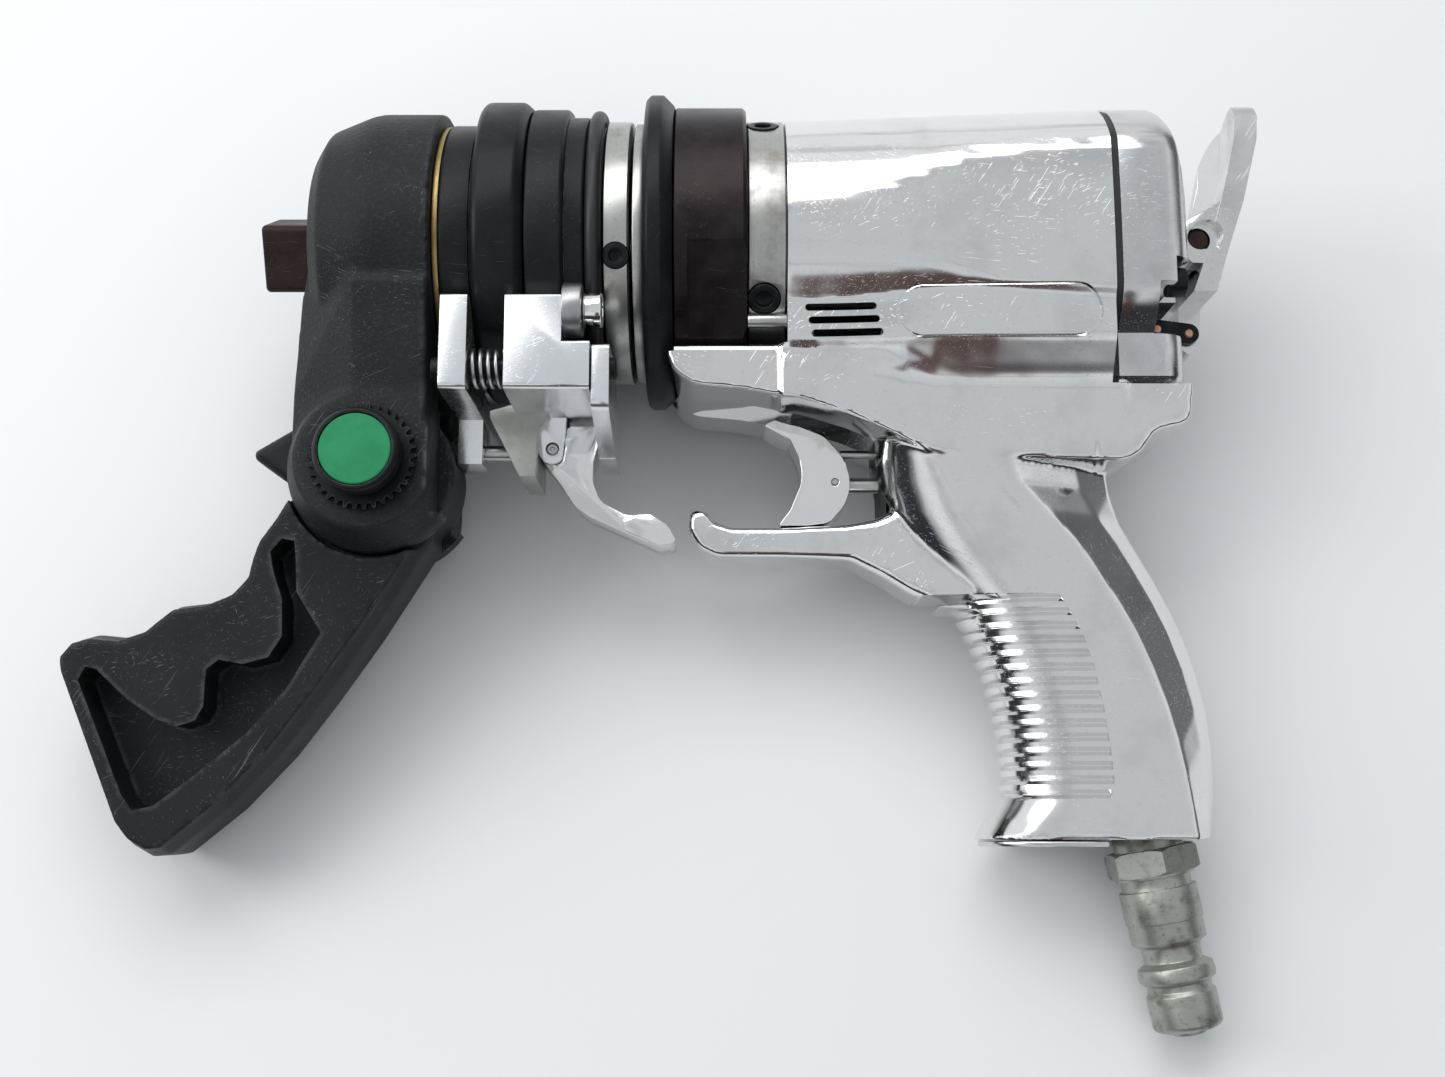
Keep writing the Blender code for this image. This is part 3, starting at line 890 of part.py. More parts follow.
# ================================================================ side handle
def side_handle():
    front = [(11.6, -74.0), (8.0, -80.0), (3.6, -86.4), (1.9, -92.0), (1.2, -96.2), (-2.4, -100.2),
             (-9.0, -102.9), (-17.4, -103.9), (-21.0, -106.6), (-25.0, -110.2), (-31.6, -112.4),
             (-39.0, -111.6), (-44.6, -113.2), (-48.3, -118.0), (-47.9, -122.4)]
    foot = [(-30.6, -162.8), (-26.5, -167.8), (-20.8, -171.0), (-16.0, -170.4)]
    back = [(-1.4, -158.4), (12.0, -144.0), (23.0, -129.0), (35.0, -111.4), (42.0, -100.0),
            (50.5, -86.0), (50.0, -70.0)]
    shift = (PIVOT[0] - DRAWN_PIVOT[0], PIVOT[1] - DRAWN_PIVOT[1])
    outline = [Vector(point) for point in moved(front + foot + back, *shift)]
    heel = Vector(moved([(-48.0, -172.0)], *shift)[0])

    def fall(depth):
        """Inset that grows on the back edge, where the grip is chamfered."""
        return lambda point: depth * (0.95 if (point - heel).cross(Vector((1.0, 0.86))) > 31 else 0.22)

    steps = [(HANDLE_HALF, 9.0), (14.0, 7.0), (8.5, 0.0)]
    levels = [(-z, inset(outline, fall(depth))) for z, depth in steps]
    levels += [(z, inset(outline, fall(depth))) for z, depth in reversed(steps)]
    handle = finish("side_handle", layered(levels), "moulded handle", (*PIVOT, 0.0))
    for mirror in (-1, 1):
        low, high = sorted((mirror * (FORK_HALF - GAP - 0.4), mirror * 60.0))
        combine(handle, prism(circle(PIVOT, BOSS_R + 0.9, 24), low, high))
    combine(handle, prism(circle(PIVOT, TONGUE_R, 28), -FORK_HALF + 0.7, FORK_HALF - 0.7), "UNION")
    tang = [Vector(point) for point in moved([(-2.1, -60.4), (12.0, -51.8), (24.0, -56.0),
                                              (24.0, -70.0), (8.4, -67.9)], *shift)]
    combine(handle, prism(tang, -6.5, 6.5, edge=1.6), "UNION")
    pocket = [Vector(point) for point in moved([
        (15.0, -87.0), (11.6, -86.4), (8.6, -90.0), (9.6, -95.0), (12.4, -103.0), (12.8, -113.0),
        (9.4, -118.6), (2.6, -120.4), (-3.8, -119.2), (-7.0, -121.8), (-7.2, -131.6), (-9.0, -135.4),
        (-14.0, -137.0), (-19.6, -135.0), (-27.8, -129.6), (-36.2, -121.8), (-39.2, -121.0),
        (-41.0, -124.6), (-27.6, -154.6), (-24.4, -158.9), (-19.0, -157.8), (-8.0, -149.4),
        (4.6, -138.8), (14.6, -127.0), (23.2, -112.0), (20.4, -107.6), (16.2, -101.0), (15.6, -92.0)],
        *shift)]
    for mirror in (-1, 1):
        low, high = sorted((mirror * 5.0, mirror * 40.0))
        combine(handle, prism(pocket, low, high))
    combine(handle, prism(circle(PIVOT, PIVOT_BOLT_R + GAP, PIN_STEPS * 2), -30.0, 30.0))


def index_button():
    skirt, cap = BUTTON_TOP - 6.4, BUTTON_TOP - BUTTON_CAP
    profile = [(cap, 0.0), (cap, BUTTON_R - 0.9), (skirt, BUTTON_R - 0.9),
               (skirt, BUTTON_R), (BUTTON_TOP - 0.6, BUTTON_R), (BUTTON_TOP, BUTTON_R - 0.6),
               (BUTTON_TOP, 9.6), (BUTTON_TOP - 1.0, 9.6), (BUTTON_TOP - 1.0, 0.0)]
    pivot = (*PIVOT, BUTTON_TOP)
    finish("index_button", turned(profile, "Z", (*PIVOT, 0.0), 28), "black oxide steel", pivot)
    disc = prism(circle(PIVOT, 9.2, 28), BUTTON_TOP - 1.0 + GAP, BUTTON_TOP - 0.1)
    finish("button_disc", disc, "green enamel", pivot)


def main():
    start_scene()
    reaction_arm()
    pivot_bolt()
    index_ring()
    case_rings()
    ring_gear()
    nose_bush()
    output_spindle()
    planets()
    rotor()
    motor_rings()
    motor_inside()
    motor_housing()
    rear_end()
    air_inlet()
    trigger()
    reverse_lever()
    reversing_spool()
    latch_parts()
    finger_lever()
    side_handle()
    index_button()


main()
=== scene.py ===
"""Looks of a pistol-grip pneumatic torque wrench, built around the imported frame.

Pieces are drawn in the tool's own axes in millimetres: X runs from the square drive to the rear, the
grip points to -Y and the left side faces +Z. place() then rolls them about X, as the tool lies on the
bench, and writes them in metres.
"""
import math

import bmesh
import bpy
from mathutils import Matrix, Vector


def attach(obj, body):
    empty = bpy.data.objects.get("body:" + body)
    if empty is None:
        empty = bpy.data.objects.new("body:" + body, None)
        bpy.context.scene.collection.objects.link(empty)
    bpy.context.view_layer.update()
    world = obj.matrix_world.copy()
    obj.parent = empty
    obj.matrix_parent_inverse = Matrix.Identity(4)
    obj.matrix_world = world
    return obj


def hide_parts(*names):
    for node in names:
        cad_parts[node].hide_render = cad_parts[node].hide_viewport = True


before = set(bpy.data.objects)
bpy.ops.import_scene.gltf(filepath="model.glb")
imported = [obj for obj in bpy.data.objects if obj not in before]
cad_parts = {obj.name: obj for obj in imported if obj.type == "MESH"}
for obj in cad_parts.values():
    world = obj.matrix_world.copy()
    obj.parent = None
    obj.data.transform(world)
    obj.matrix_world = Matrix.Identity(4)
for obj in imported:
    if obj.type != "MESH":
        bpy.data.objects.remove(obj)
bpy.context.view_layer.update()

MM = 0.001
FLANGE_R = 44.9
FOOT = math.hypot(165.0, 18.5)
ROLL = math.asin(FLANGE_R / FOOT) - math.atan2(18.5, 165.0)
TO_BENCH = Matrix.Rotation(ROLL, 4, "X") @ Matrix.Scale(MM, 4)
INLET, INLET_TILT = (246.5, -168.2), math.radians(10.4)

# axes along Z, as (x, y)
PIVOT = (35.7, -66.9)
PIVOT_HOLE = 7.8
LEVER_PIVOT = (263.5, -1.9)
FINGER_PIVOT = (83.5, -59.8)
TRIGGER_PIN = (162.0, -69.0)

# axes along X, as (y, z)
BARREL = (0.0, 0.0)
LATCH_ROD = (-43.5, 33.0)
LOCK_PIN = (-59.0, 0.0)
ROLLER = (-28.6, 36.6)
DOWEL = (-28.6, 27.6)
GUIDE_PIN = (-59.4, 0.0)
THROTTLE_ROD = (-68.3, 0.0)
SPOOL = (-25.0, 0.0)

HOUSING_FRONT = 148.3
RING_BORE = 33.3
CASE_R, CASE_BORE = 33.0, 30.0
SLEEVE_BAND_R = 37.4
TUCKED = 42.2

# seats of the cap's screws (y, z, x) and angles of the rear band's grub screws
CAP_SCREWS = ((30.0, 17.0, 250.4), (30.0, -17.0, 250.4), (-17.6, 27.0, 252.3), (-17.6, -27.0, 252.3))
REAR_GRUB_ANGLES = (38.0, 308.0, 128.0, 218.0)


# ================================================================ shaping helpers
def spot(axis, u, v, along):
    return {"X": (along, u, v), "Y": (u, along, v), "Z": (u, v, along)}[axis]


def verts_of(made):
    return [item for item in made["geom"] if isinstance(item, bmesh.types.BMVert)]


def soften(bm, width, segments=2, angle=28.0):
    """Round every edge sharper than an angle."""
    limit = math.radians(angle)
    sharp = [edge for edge in bm.edges if len(edge.link_faces) == 2 and edge.calc_face_angle(0.0) > limit]
    bmesh.ops.bevel(bm, geom=sharp, offset=width, offset_type="OFFSET", segments=segments, profile=0.5,
                    affect="EDGES", clamp_overlap=True, material=-1)
    return bm


def flat_shape(bm, corners, axis, along):
    """Flat face through (u, v) or (u, v, radius) corners, with the corners rounded."""
    verts = [bm.verts.new(spot(axis, corner[0], corner[1], along)) for corner in corners]
    edges = [bm.edges.new((verts[i - 1], verts[i])) for i in range(len(verts))]
    bmesh.ops.contextual_create(bm, geom=edges)
    for index, corner in enumerate(corners):
        if len(corner) < 3:
            continue
        here = Vector(corner[:2])
        into = (here - Vector(corners[index - 1][:2])).normalized()
        out = (Vector(corners[(index + 1) % len(corners)][:2]) - here).normalized()
        bend = into.angle(out)
        bmesh.ops.bevel(bm, geom=[verts[index]], offset=corner[2] * math.tan(bend / 2),
                        offset_type="OFFSET", segments=max(2, math.ceil(bend / 0.22)), profile=0.5,
                        affect="VERTICES", clamp_overlap=False, material=-1)
    return list(bm.faces)


def slab(corners, low, high, axis="Z", rim=0.0, segments=3):
    """Plate of a flat shape from low to high along an axis, its edges rounded by rim."""
    bm = bmesh.new()
    faces = flat_shape(bm, corners, axis, low)
    made = bmesh.ops.extrude_face_region(bm, geom=faces)
    bmesh.ops.translate(bm, verts=verts_of(made), vec=spot(axis, 0, 0, high - low))
    bmesh.ops.recalc_face_normals(bm, faces=bm.faces)
    if rim:
        soften(bm, rim, segments)
    return bm


def brick(low, high, rim=0.0):
    bm = bmesh.new()
    bmesh.ops.create_cube(bm, size=1.0)
    low, high = Vector(low), Vector(high)
    bmesh.ops.scale(bm, verts=bm.verts, vec=high - low)
    bmesh.ops.translate(bm, verts=bm.verts, vec=(low + high) / 2)
    if rim:
        soften(bm, rim)
    return bm


def turned(profile, axis="X", centre=(0.0, 0.0, 0.0), steps=112, rim=0.0, segments=2):
    """Solid of revolution of (along, radius) points. A profile clear of the axis makes a ring."""
    bm = bmesh.new()
    verts = [bm.verts.new(spot(axis, radius, 0.0, along)) for along, radius in profile]
    edges = [bm.edges.new(pair) for pair in zip(verts, verts[1:])]
    if profile[0][1] > 0 and profile[-1][1] > 0:
        edges.append(bm.edges.new((verts[-1], verts[0])))
    bmesh.ops.spin(bm, geom=verts + edges, cent=(0, 0, 0), axis=spot(axis, 0, 0, 1), angle=math.tau,
                   steps=steps, use_merge=True)
    bmesh.ops.remove_doubles(bm, verts=bm.verts, dist=1e-4)
    bmesh.ops.recalc_face_normals(bm, faces=bm.faces)
    if rim:
        soften(bm, rim, segments, 25.0)
    bmesh.ops.translate(bm, verts=bm.verts, vec=Vector(centre))
    return bm


def rod(centre, radius, low, high, axis="X", rim=0.2, steps=32):
    """Plain round pin along an axis."""
    bm = bmesh.new()
    bmesh.ops.create_circle(bm, cap_ends=True, segments=steps, radius=radius)
    turn = {"X": Matrix.Rotation(math.pi / 2, 4, "Y"), "Y": Matrix.Rotation(-math.pi / 2, 4, "X"),
            "Z": Matrix.Identity(4)}[axis]
    bmesh.ops.transform(bm, matrix=Matrix.Translation(spot(axis, *centre, low)) @ turn, verts=bm.verts)
    made = bmesh.ops.extrude_face_region(bm, geom=list(bm.faces))
    bmesh.ops.translate(bm, verts=verts_of(made), vec=spot(axis, 0, 0, high - low))
    bmesh.ops.recalc_face_normals(bm, faces=bm.faces)
    if rim:
        soften(bm, rim, 2, 50.0)
    return bm


def loft(rings, axis):
    """Skin over closed rings of equal count, given as (along, points)."""
    bm = bmesh.new()
    loops = []
    for along, points in rings:
        verts = [bm.verts.new(spot(axis, u, v, along)) for u, v in points]
        loops.append([bm.edges.new((verts[i - 1], verts[i])) for i in range(len(verts))])
    for low, high in zip(loops, loops[1:]):
        bmesh.ops.bridge_loops(bm, edges=low + high)
    for loop in (loops[0], loops[-1]):
        bmesh.ops.contextual_create(bm, geom=loop)
    bmesh.ops.recalc_face_normals(bm, faces=bm.faces)
    return bm


def join(*shapes):
    """Several shapes as one mesh."""
    whole = bmesh.new()
    for shape in shapes:
        mesh = bpy.data.meshes.new("part")
        shape.to_mesh(mesh)
        whole.from_mesh(mesh)
        shape.free()
        bpy.data.meshes.remove(mesh)
    return whole


def rough_object(bm, name):
    mesh = bpy.data.meshes.new(name)
    bm.to_mesh(mesh)
    bm.free()
    thing = bpy.data.objects.new(name, mesh)
    bpy.context.scene.collection.objects.link(thing)
    return thing


def worked(thing):
    """Bmesh of an object with its modifiers applied. The object is removed."""
    graph = bpy.context.evaluated_depsgraph_get()
    mesh = bpy.data.meshes.new_from_object(thing.evaluated_get(graph))
    bm = bmesh.new()
    bm.from_mesh(mesh)
    bpy.data.objects.remove(thing)
    bpy.data.meshes.remove(mesh)
    return bm


def carve(bm, *cutters, how="DIFFERENCE"):
    """Cut shapes out of a shape, or join them on."""
    whole = rough_object(bm, "whole")
    tools = []
    for cutter in cutters:
        tool = rough_object(cutter, "cutter")
        step = whole.modifiers.new("carve", "BOOLEAN")
        step.operation = how
        step.object = tool
        step.solver = "EXACT"
        tools.append(tool)
    shape = worked(whole)
    for tool in tools:
        bpy.data.objects.remove(tool)
    return shape


def cast(bm, voxel, passes):
    """One skin over crossing shapes, with its corners run together as in a casting."""
    thing = rough_object(bm, "casting")
    skin = thing.modifiers.new("skin", "REMESH")
    skin.mode = "VOXEL"
    skin.voxel_size = voxel
    skin.use_smooth_shade = True
    if passes:
        run = thing.modifiers.new("run", "SMOOTH")
        run.factor = 0.5
        run.iterations = passes
    return worked(thing)


def tidy_edges(bm, width=0.3, segments=2, angle=40.0):
    """Break the sharp edges left by cutting."""
    bmesh.ops.dissolve_limit(bm, angle_limit=math.radians(0.6), verts=bm.verts, edges=bm.edges)
    return soften(bm, width, segments, angle)


def place(name, bm, material, body, replaces=(), crease=32.0):
    """Write a shape in its place in the frame, riding on a body."""
    bmesh.ops.remove_doubles(bm, verts=bm.verts, dist=1e-4)
    bmesh.ops.transform(bm, matrix=TO_BENCH, verts=bm.verts)
    mesh = bpy.data.meshes.new(name)
    bm.to_mesh(mesh)
    bm.free()
    mesh.materials.append(material)
    mesh.shade_smooth()
    mesh.set_sharp_from_angle(angle=math.radians(crease))
    piece = bpy.data.objects.new(name, mesh)
    bpy.context.scene.collection.objects.link(piece)
    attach(piece, body)
    if replaces:
        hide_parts(*replaces)
    return piece


def around(angle, radius, along):
    """Point on the barrel: angle from +Z towards -Y, in degrees."""
    turn = math.radians(angle)
    return Vector((along, -radius * math.sin(turn), radius * math.cos(turn)))


def aimed(bm, direction, seat):
    """Turn a shape made along Z to a direction and stand it at a point."""
    turn = Vector(direction).to_track_quat("Z", "Y").to_matrix().to_4x4()
    bmesh.ops.transform(bm, matrix=Matrix.Translation(seat) @ turn, verts=bm.verts)
    return bm


# ================================================================ material helpers
class Nodes:
    """Short way to lay and link nodes in a tree."""

    def __init__(self, tree):
        self.tree = tree

    def add(self, kind, settings=None, **inputs):
        node = self.tree.nodes.new(kind)
        for key, value in (settings or {}).items():
            setattr(node, key, value)
        for key, value in inputs.items():
            self.feed(node, key.replace("_", " "), value)
        return node

    def feed(self, node, key, value):
        socket = node.inputs[int(key[2:])] if key.startswith("in") and key[2:].isdigit() else node.inputs[key]
        if isinstance(value, bpy.types.NodeSocket):
            self.tree.links.new(value, socket)
        else:
            socket.default_value = value

    def maths(self, operation, a, b=0.5, clamp=False):
        node = self.add("ShaderNodeMath", {"operation": operation, "use_clamp": clamp}, in0=a, in1=b)
        return node.outputs[0]

    def noise(self, vector, scale, detail=2.0, roughness=0.5):
        node = self.add("ShaderNodeTexNoise", None, Vector=vector, Scale=scale, Detail=detail,
                        Roughness=roughness)
        return node.outputs["Fac"]

    def spread(self, value, low, high, to_low=0.0, to_high=1.0):
        """Smooth step of a value from one range to another."""
        settings = {"interpolation_type": "SMOOTHSTEP", "clamp": True}
        node = self.add("ShaderNodeMapRange", settings, Value=value)
        for key, number in (("From Min", low), ("From Max", high), ("To Min", to_low), ("To Max", to_high)):
            node.inputs[key].default_value = number
        return node.outputs[0]

    def turned_vector(self, vector, scale, rotation=(0, 0, 0), location=(0, 0, 0)):
        first = self.add("ShaderNodeMapping", None, Vector=vector, Rotation=rotation, Location=location)
        return self.add("ShaderNodeMapping", None, Vector=first.outputs[0], Scale=scale).outputs[0]

    def blend(self, share, first, second):
        node = self.add("ShaderNodeMix", {"data_type": "RGBA"})
        for index, value in ((0, share), (6, first), (7, second)):
            if isinstance(value, bpy.types.NodeSocket):
                self.tree.links.new(value, node.inputs[index])
            elif index:
                node.inputs[index].default_value = (*value, 1.0)
            else:
                node.inputs[index].default_value = value
        return node.outputs[2]


def new_group(name, inputs, outputs):
    tree = bpy.data.node_groups.new(name, "ShaderNodeTree")
    for label, kind, value in inputs:
        socket = tree.interface.new_socket(name=label, in_out="INPUT", socket_type=kind)
        if value is not None:
            socket.default_value = value
    for label, kind in outputs:
        tree.interface.new_socket(name=label, in_out="OUTPUT", socket_type=kind)
    nodes = Nodes(tree)
    start, end = nodes.add("NodeGroupInput"), nodes.add("NodeGroupOutput")
    return tree, nodes, start, end


FLOAT, VECTOR = "NodeSocketFloat", "NodeSocketVector"


def handling_marks():
    """Fine scratches in several directions, gathered in patches."""
    tree, nodes, start, end = new_group("handling_marks", [("Vector", VECTOR, None), ("Amount", FLOAT, 0.5)],
                                        [("Mask", FLOAT)])
    where = start.outputs["Vector"]
    total = None
    turns = ((0.1, 0.1, 0.55), (0.1, -0.1, 1.25), (-0.1, 0.1, 2.15), (0.1, 0.2, 2.8), (0.2, -0.1, 0.05))
    for index, turn in enumerate(turns):
        streak = nodes.turned_vector(where, (60.0, 3600.0, 3600.0), turn, (index * 0.37, index * 0.1, 0))
        line = nodes.noise(streak, 1.0, 1.0)
        line = nodes.spread(line, 0.70, 0.745)
        moved = nodes.turned_vector(where, (1, 1, 1), (0, 0, 0), (index * 0.3, 0.2, 0))
        patch = nodes.spread(nodes.noise(moved, 48.0, 2.0), 0.46, 0.66)
        mark = nodes.maths("MULTIPLY", line, patch)
        total = mark if total is None else nodes.maths("MAXIMUM", total, mark)
    nodes.tree.links.new(nodes.maths("MULTIPLY", total, start.outputs["Amount"], True), end.inputs["Mask"])
    return tree


def worn_edges():
    """Mask that is bright where the surface turns over an edge."""
    tree, nodes, start, end = new_group("worn_edges", [("Vector", VECTOR, None), ("Reach", FLOAT, 0.0008),
                                                       ("Patchiness", FLOAT, 0.5)], [("Mask", FLOAT)])
    bevel = nodes.add("ShaderNodeBevel", {"samples": 6}, Radius=start.outputs["Reach"])
    plain = nodes.add("ShaderNodeNewGeometry")
    facing = nodes.add("ShaderNodeVectorMath", {"operation": "DOT_PRODUCT"}, in0=bevel.outputs[0],
                       in1=plain.outputs["Normal"])
    edge = nodes.spread(facing.outputs["Value"], 0.992, 0.90)
    patch = nodes.noise(start.outputs["Vector"], 260.0, 3.0, 0.65)
    low = nodes.maths("MULTIPLY", start.outputs["Patchiness"], 0.62)
    patch = nodes.maths("SUBTRACT", patch, low)
    patch = nodes.maths("MULTIPLY", patch, 6.0, True)
    nodes.tree.links.new(nodes.maths("MULTIPLY", edge, patch, True), end.inputs["Mask"])
    return tree


def grime():
    """Soft dark blotches of dust and old oil."""
    tree, nodes, start, end = new_group("grime", [("Vector", VECTOR, None), ("Size", FLOAT, 60.0),
                                                  ("Amount", FLOAT, 0.5)], [("Mask", FLOAT)])
    broad = nodes.noise(start.outputs["Vector"], start.outputs["Size"], 5.0, 0.62)
    broad = nodes.spread(broad, 0.48, 0.72)
    speck = nodes.noise(start.outputs["Vector"], 900.0, 2.0, 0.6)
    speck = nodes.spread(speck, 0.60, 0.70, 0.0, 0.5)
    total = nodes.maths("MAXIMUM", broad, speck)
    nodes.tree.links.new(nodes.maths("MULTIPLY", total, start.outputs["Amount"], True), end.inputs["Mask"])
    return tree


MARKS, EDGES, GRIME = handling_marks(), worn_edges(), grime()
BLACK_GLOSS = 0.22


def start_material(name):
    material = bpy.data.materials.new(name)
    material.use_nodes = True
    nodes = Nodes(material.node_tree)
    shader = material.node_tree.nodes["Principled BSDF"]
    where = nodes.add("ShaderNodeTexCoord").outputs["Object"]
    return material, nodes, shader, where


def use_group(nodes, tree, vector, **values):
    node = nodes.add("ShaderNodeGroup", {"node_tree": tree})
    nodes.feed(node, "Vector", vector)
    for key, value in values.items():
        node.inputs[key].default_value = value
    return node.outputs["Mask"]


def bump(nodes, shader, layers):
    """Chain of bumps: (height, distance in mm, strength)."""
    normal = None
    for height, distance, strength in layers:
        node = nodes.add("ShaderNodeBump", None, Height=height, Distance=distance * MM, Strength=strength)
        if normal is not None:
            nodes.tree.links.new(normal, node.inputs["Normal"])
        normal = node.outputs[0]
    nodes.tree.links.new(normal, shader.inputs["Normal"])


def polished_metal(name, colour, rough, marks=0.8, waves=0.05, dirt=0.25, grain=0.0):
    """Hand-polished aluminium or plated steel with scratches, dull patches and slight waves."""
    material, nodes, shader, where = start_material(name)
    shader.inputs["Metallic"].default_value = 1.0
    scratch = use_group(nodes, MARKS, where, Amount=marks)
    dull = use_group(nodes, GRIME, where, Size=42.0, Amount=dirt)
    haze = nodes.spread(nodes.noise(where, 24.0, 3.0, 0.55), 0.35, 0.70)
    base = nodes.blend(dull, colour, tuple(0.62 * part for part in colour))
    base = nodes.blend(nodes.maths("MULTIPLY", scratch, 0.35), base, (0.97, 0.97, 0.97))
    nodes.tree.links.new(base, shader.inputs["Base Color"])
    rough_map = nodes.maths("ADD", nodes.maths("MULTIPLY", haze, 0.07), rough)
    rough_map = nodes.maths("ADD", rough_map, nodes.maths("MULTIPLY", scratch, 0.25))
    rough_map = nodes.maths("ADD", rough_map, nodes.maths("MULTIPLY", dull, 0.16), True)
    nodes.tree.links.new(rough_map, shader.inputs["Roughness"])
    wave = nodes.noise(where, 75.0, 1.0, 0.4)
    swell = nodes.noise(where, 22.0, 1.0, 0.4)
    layers = [(swell, 4.0, waves), (wave, 1.2, waves), (scratch, 0.05, 0.3)]
    if grain:
        fine = nodes.noise(nodes.turned_vector(where, (300, 300, 4200), (0.3, 0.2, 0)), 1.0, 2.0)
        layers.append((fine, 0.04, grain))
    bump(nodes, shader, layers)
    return material


def satin_steel(name, colour, rough, lines=0.5, dirt=0.4, axis=0, metal=1.0):
    """Turned or ground steel: lines across one axis, uneven lustre and old oil."""
    material, nodes, shader, where = start_material(name)
    shader.inputs["Metallic"].default_value = metal
    scale = [12.0, 12.0, 12.0]
    scale[axis] = 5200.0
    groove = nodes.noise(nodes.turned_vector(where, scale), 1.0, 3.0, 0.6)
    stain = use_group(nodes, GRIME, where, Size=95.0, Amount=dirt)
    scratch = use_group(nodes, MARKS, where, Amount=0.5)
    shade = nodes.spread(groove, 0.3, 0.7, 0.0, 0.30)
    base = nodes.blend(shade, colour, tuple(0.72 * part for part in colour))
    base = nodes.blend(stain, base, tuple(part * tint for part, tint in zip(colour, (0.30, 0.26, 0.22))))
    base = nodes.blend(nodes.maths("MULTIPLY", scratch, 0.3), base, tuple(min(1.0, 1.5 * p) for p in colour))
    nodes.tree.links.new(base, shader.inputs["Base Color"])
    rough_map = nodes.maths("ADD", nodes.maths("MULTIPLY", stain, 0.25), rough)
    rough_map = nodes.maths("ADD", rough_map, nodes.maths("MULTIPLY", groove, 0.08), True)
    nodes.tree.links.new(rough_map, shader.inputs["Roughness"])
    bump(nodes, shader, [(groove, 0.03, lines), (scratch, 0.04, 0.3)])
    return material


def blackened_steel(name, colour, rough, wear=0.6, metal=0.55, tint=None, lines=0.25):
    """Black oxide over turned steel, rubbed bright along its edges."""
    material, nodes, shader, where = start_material(name)
    shader.inputs["Metallic"].default_value = metal
    shader.inputs["Specular IOR Level"].default_value = BLACK_GLOSS
    groove = nodes.noise(nodes.turned_vector(where, (4200.0, 10.0, 10.0)), 1.0, 3.0, 0.6)
    cloud = nodes.noise(where, 70.0, 4.0, 0.6)
    edge = use_group(nodes, EDGES, where, Reach=0.0005, Patchiness=1.0 - 0.45 * wear)
    scratch = use_group(nodes, MARKS, where, Amount=0.55)
    base = nodes.blend(nodes.spread(cloud, 0.35, 0.7), colour, tint or tuple(1.55 * part for part in colour))
    base = nodes.blend(nodes.maths("MULTIPLY", edge, wear * 0.7), base, (0.23, 0.22, 0.215))
    base = nodes.blend(nodes.maths("MULTIPLY", scratch, 0.30), base, (0.30, 0.30, 0.30))
    nodes.tree.links.new(base, shader.inputs["Base Color"])
    rough_map = nodes.spread(cloud, 0.3, 0.7, rough - 0.05, rough + 0.10)
    nodes.tree.links.new(rough_map, shader.inputs["Roughness"])
    bump(nodes, shader, [(groove, 0.03, lines), (scratch, 0.03, 0.3)])
    return material


def sand_cast(name, colour, rough, grain_mm, depth, wear=0.8, metal=0.25):
    """Blackened casting with a sandy skin, scuffs and rubbed corners."""
    material, nodes, shader, where = start_material(name)
    shader.inputs["Metallic"].default_value = metal
    shader.inputs["Specular IOR Level"].default_value = BLACK_GLOSS
    coarse = nodes.noise(where, 1.0 / (grain_mm * MM), 4.0, 0.65)
    fine = nodes.noise(where, 3.6 / (grain_mm * MM), 2.0, 0.6)
    cloud = nodes.noise(where, 34.0, 4.0, 0.55)
    edge = use_group(nodes, EDGES, where, Reach=0.0028, Patchiness=0.62)
    scratch = use_group(nodes, MARKS, where, Amount=0.9)
    base = nodes.blend(nodes.spread(cloud, 0.3, 0.72), colour, tuple(1.7 * part for part in colour))
    base = nodes.blend(nodes.spread(fine, 0.45, 0.75, 0.0, 0.5), base, tuple(0.5 * part for part in colour))
    base = nodes.blend(nodes.spread(coarse, 0.52, 0.68, 0.0, 0.5), base, tuple(2.6 * part for part in colour))
    base = nodes.blend(nodes.maths("MULTIPLY", edge, wear * 0.6), base, (0.17, 0.175, 0.18))
    base = nodes.blend(nodes.maths("MULTIPLY", scratch, 0.55), base, (0.26, 0.265, 0.27))
    nodes.tree.links.new(base, shader.inputs["Base Color"])
    rough_map = nodes.spread(cloud, 0.3, 0.7, rough - 0.06, rough + 0.08)
    nodes.tree.links.new(rough_map, shader.inputs["Roughness"])
    bump(nodes, shader, [(coarse, depth, 0.75), (fine, depth * 0.35, 0.6)])
    return material


def plain_soft(name, colour, rough, grain=900.0, strength=0.15, metal=0.0):
    """Paint, rubber or enamel with a faint grain; also the flat near-black finish of the painted shade in the
    trigger slot.
    """
    material, nodes, shader, where = start_material(name)
    shader.inputs["Metallic"].default_value = metal
    cloud = nodes.noise(where, 120.0, 4.0, 0.6)
    fine = nodes.noise(where, grain, 3.0, 0.6)
    shade = tuple(0.72 * part for part in colour)
    base = nodes.blend(nodes.spread(cloud, 0.35, 0.7, 0.0, 0.6), colour, shade)
    nodes.tree.links.new(base, shader.inputs["Base Color"])
    rough_map = nodes.spread(cloud, 0.3, 0.7, rough - 0.05, rough + 0.08)
    nodes.tree.links.new(rough_map, shader.inputs["Roughness"])
    bump(nodes, shader, [(fine, 0.06, strength)])
    return material


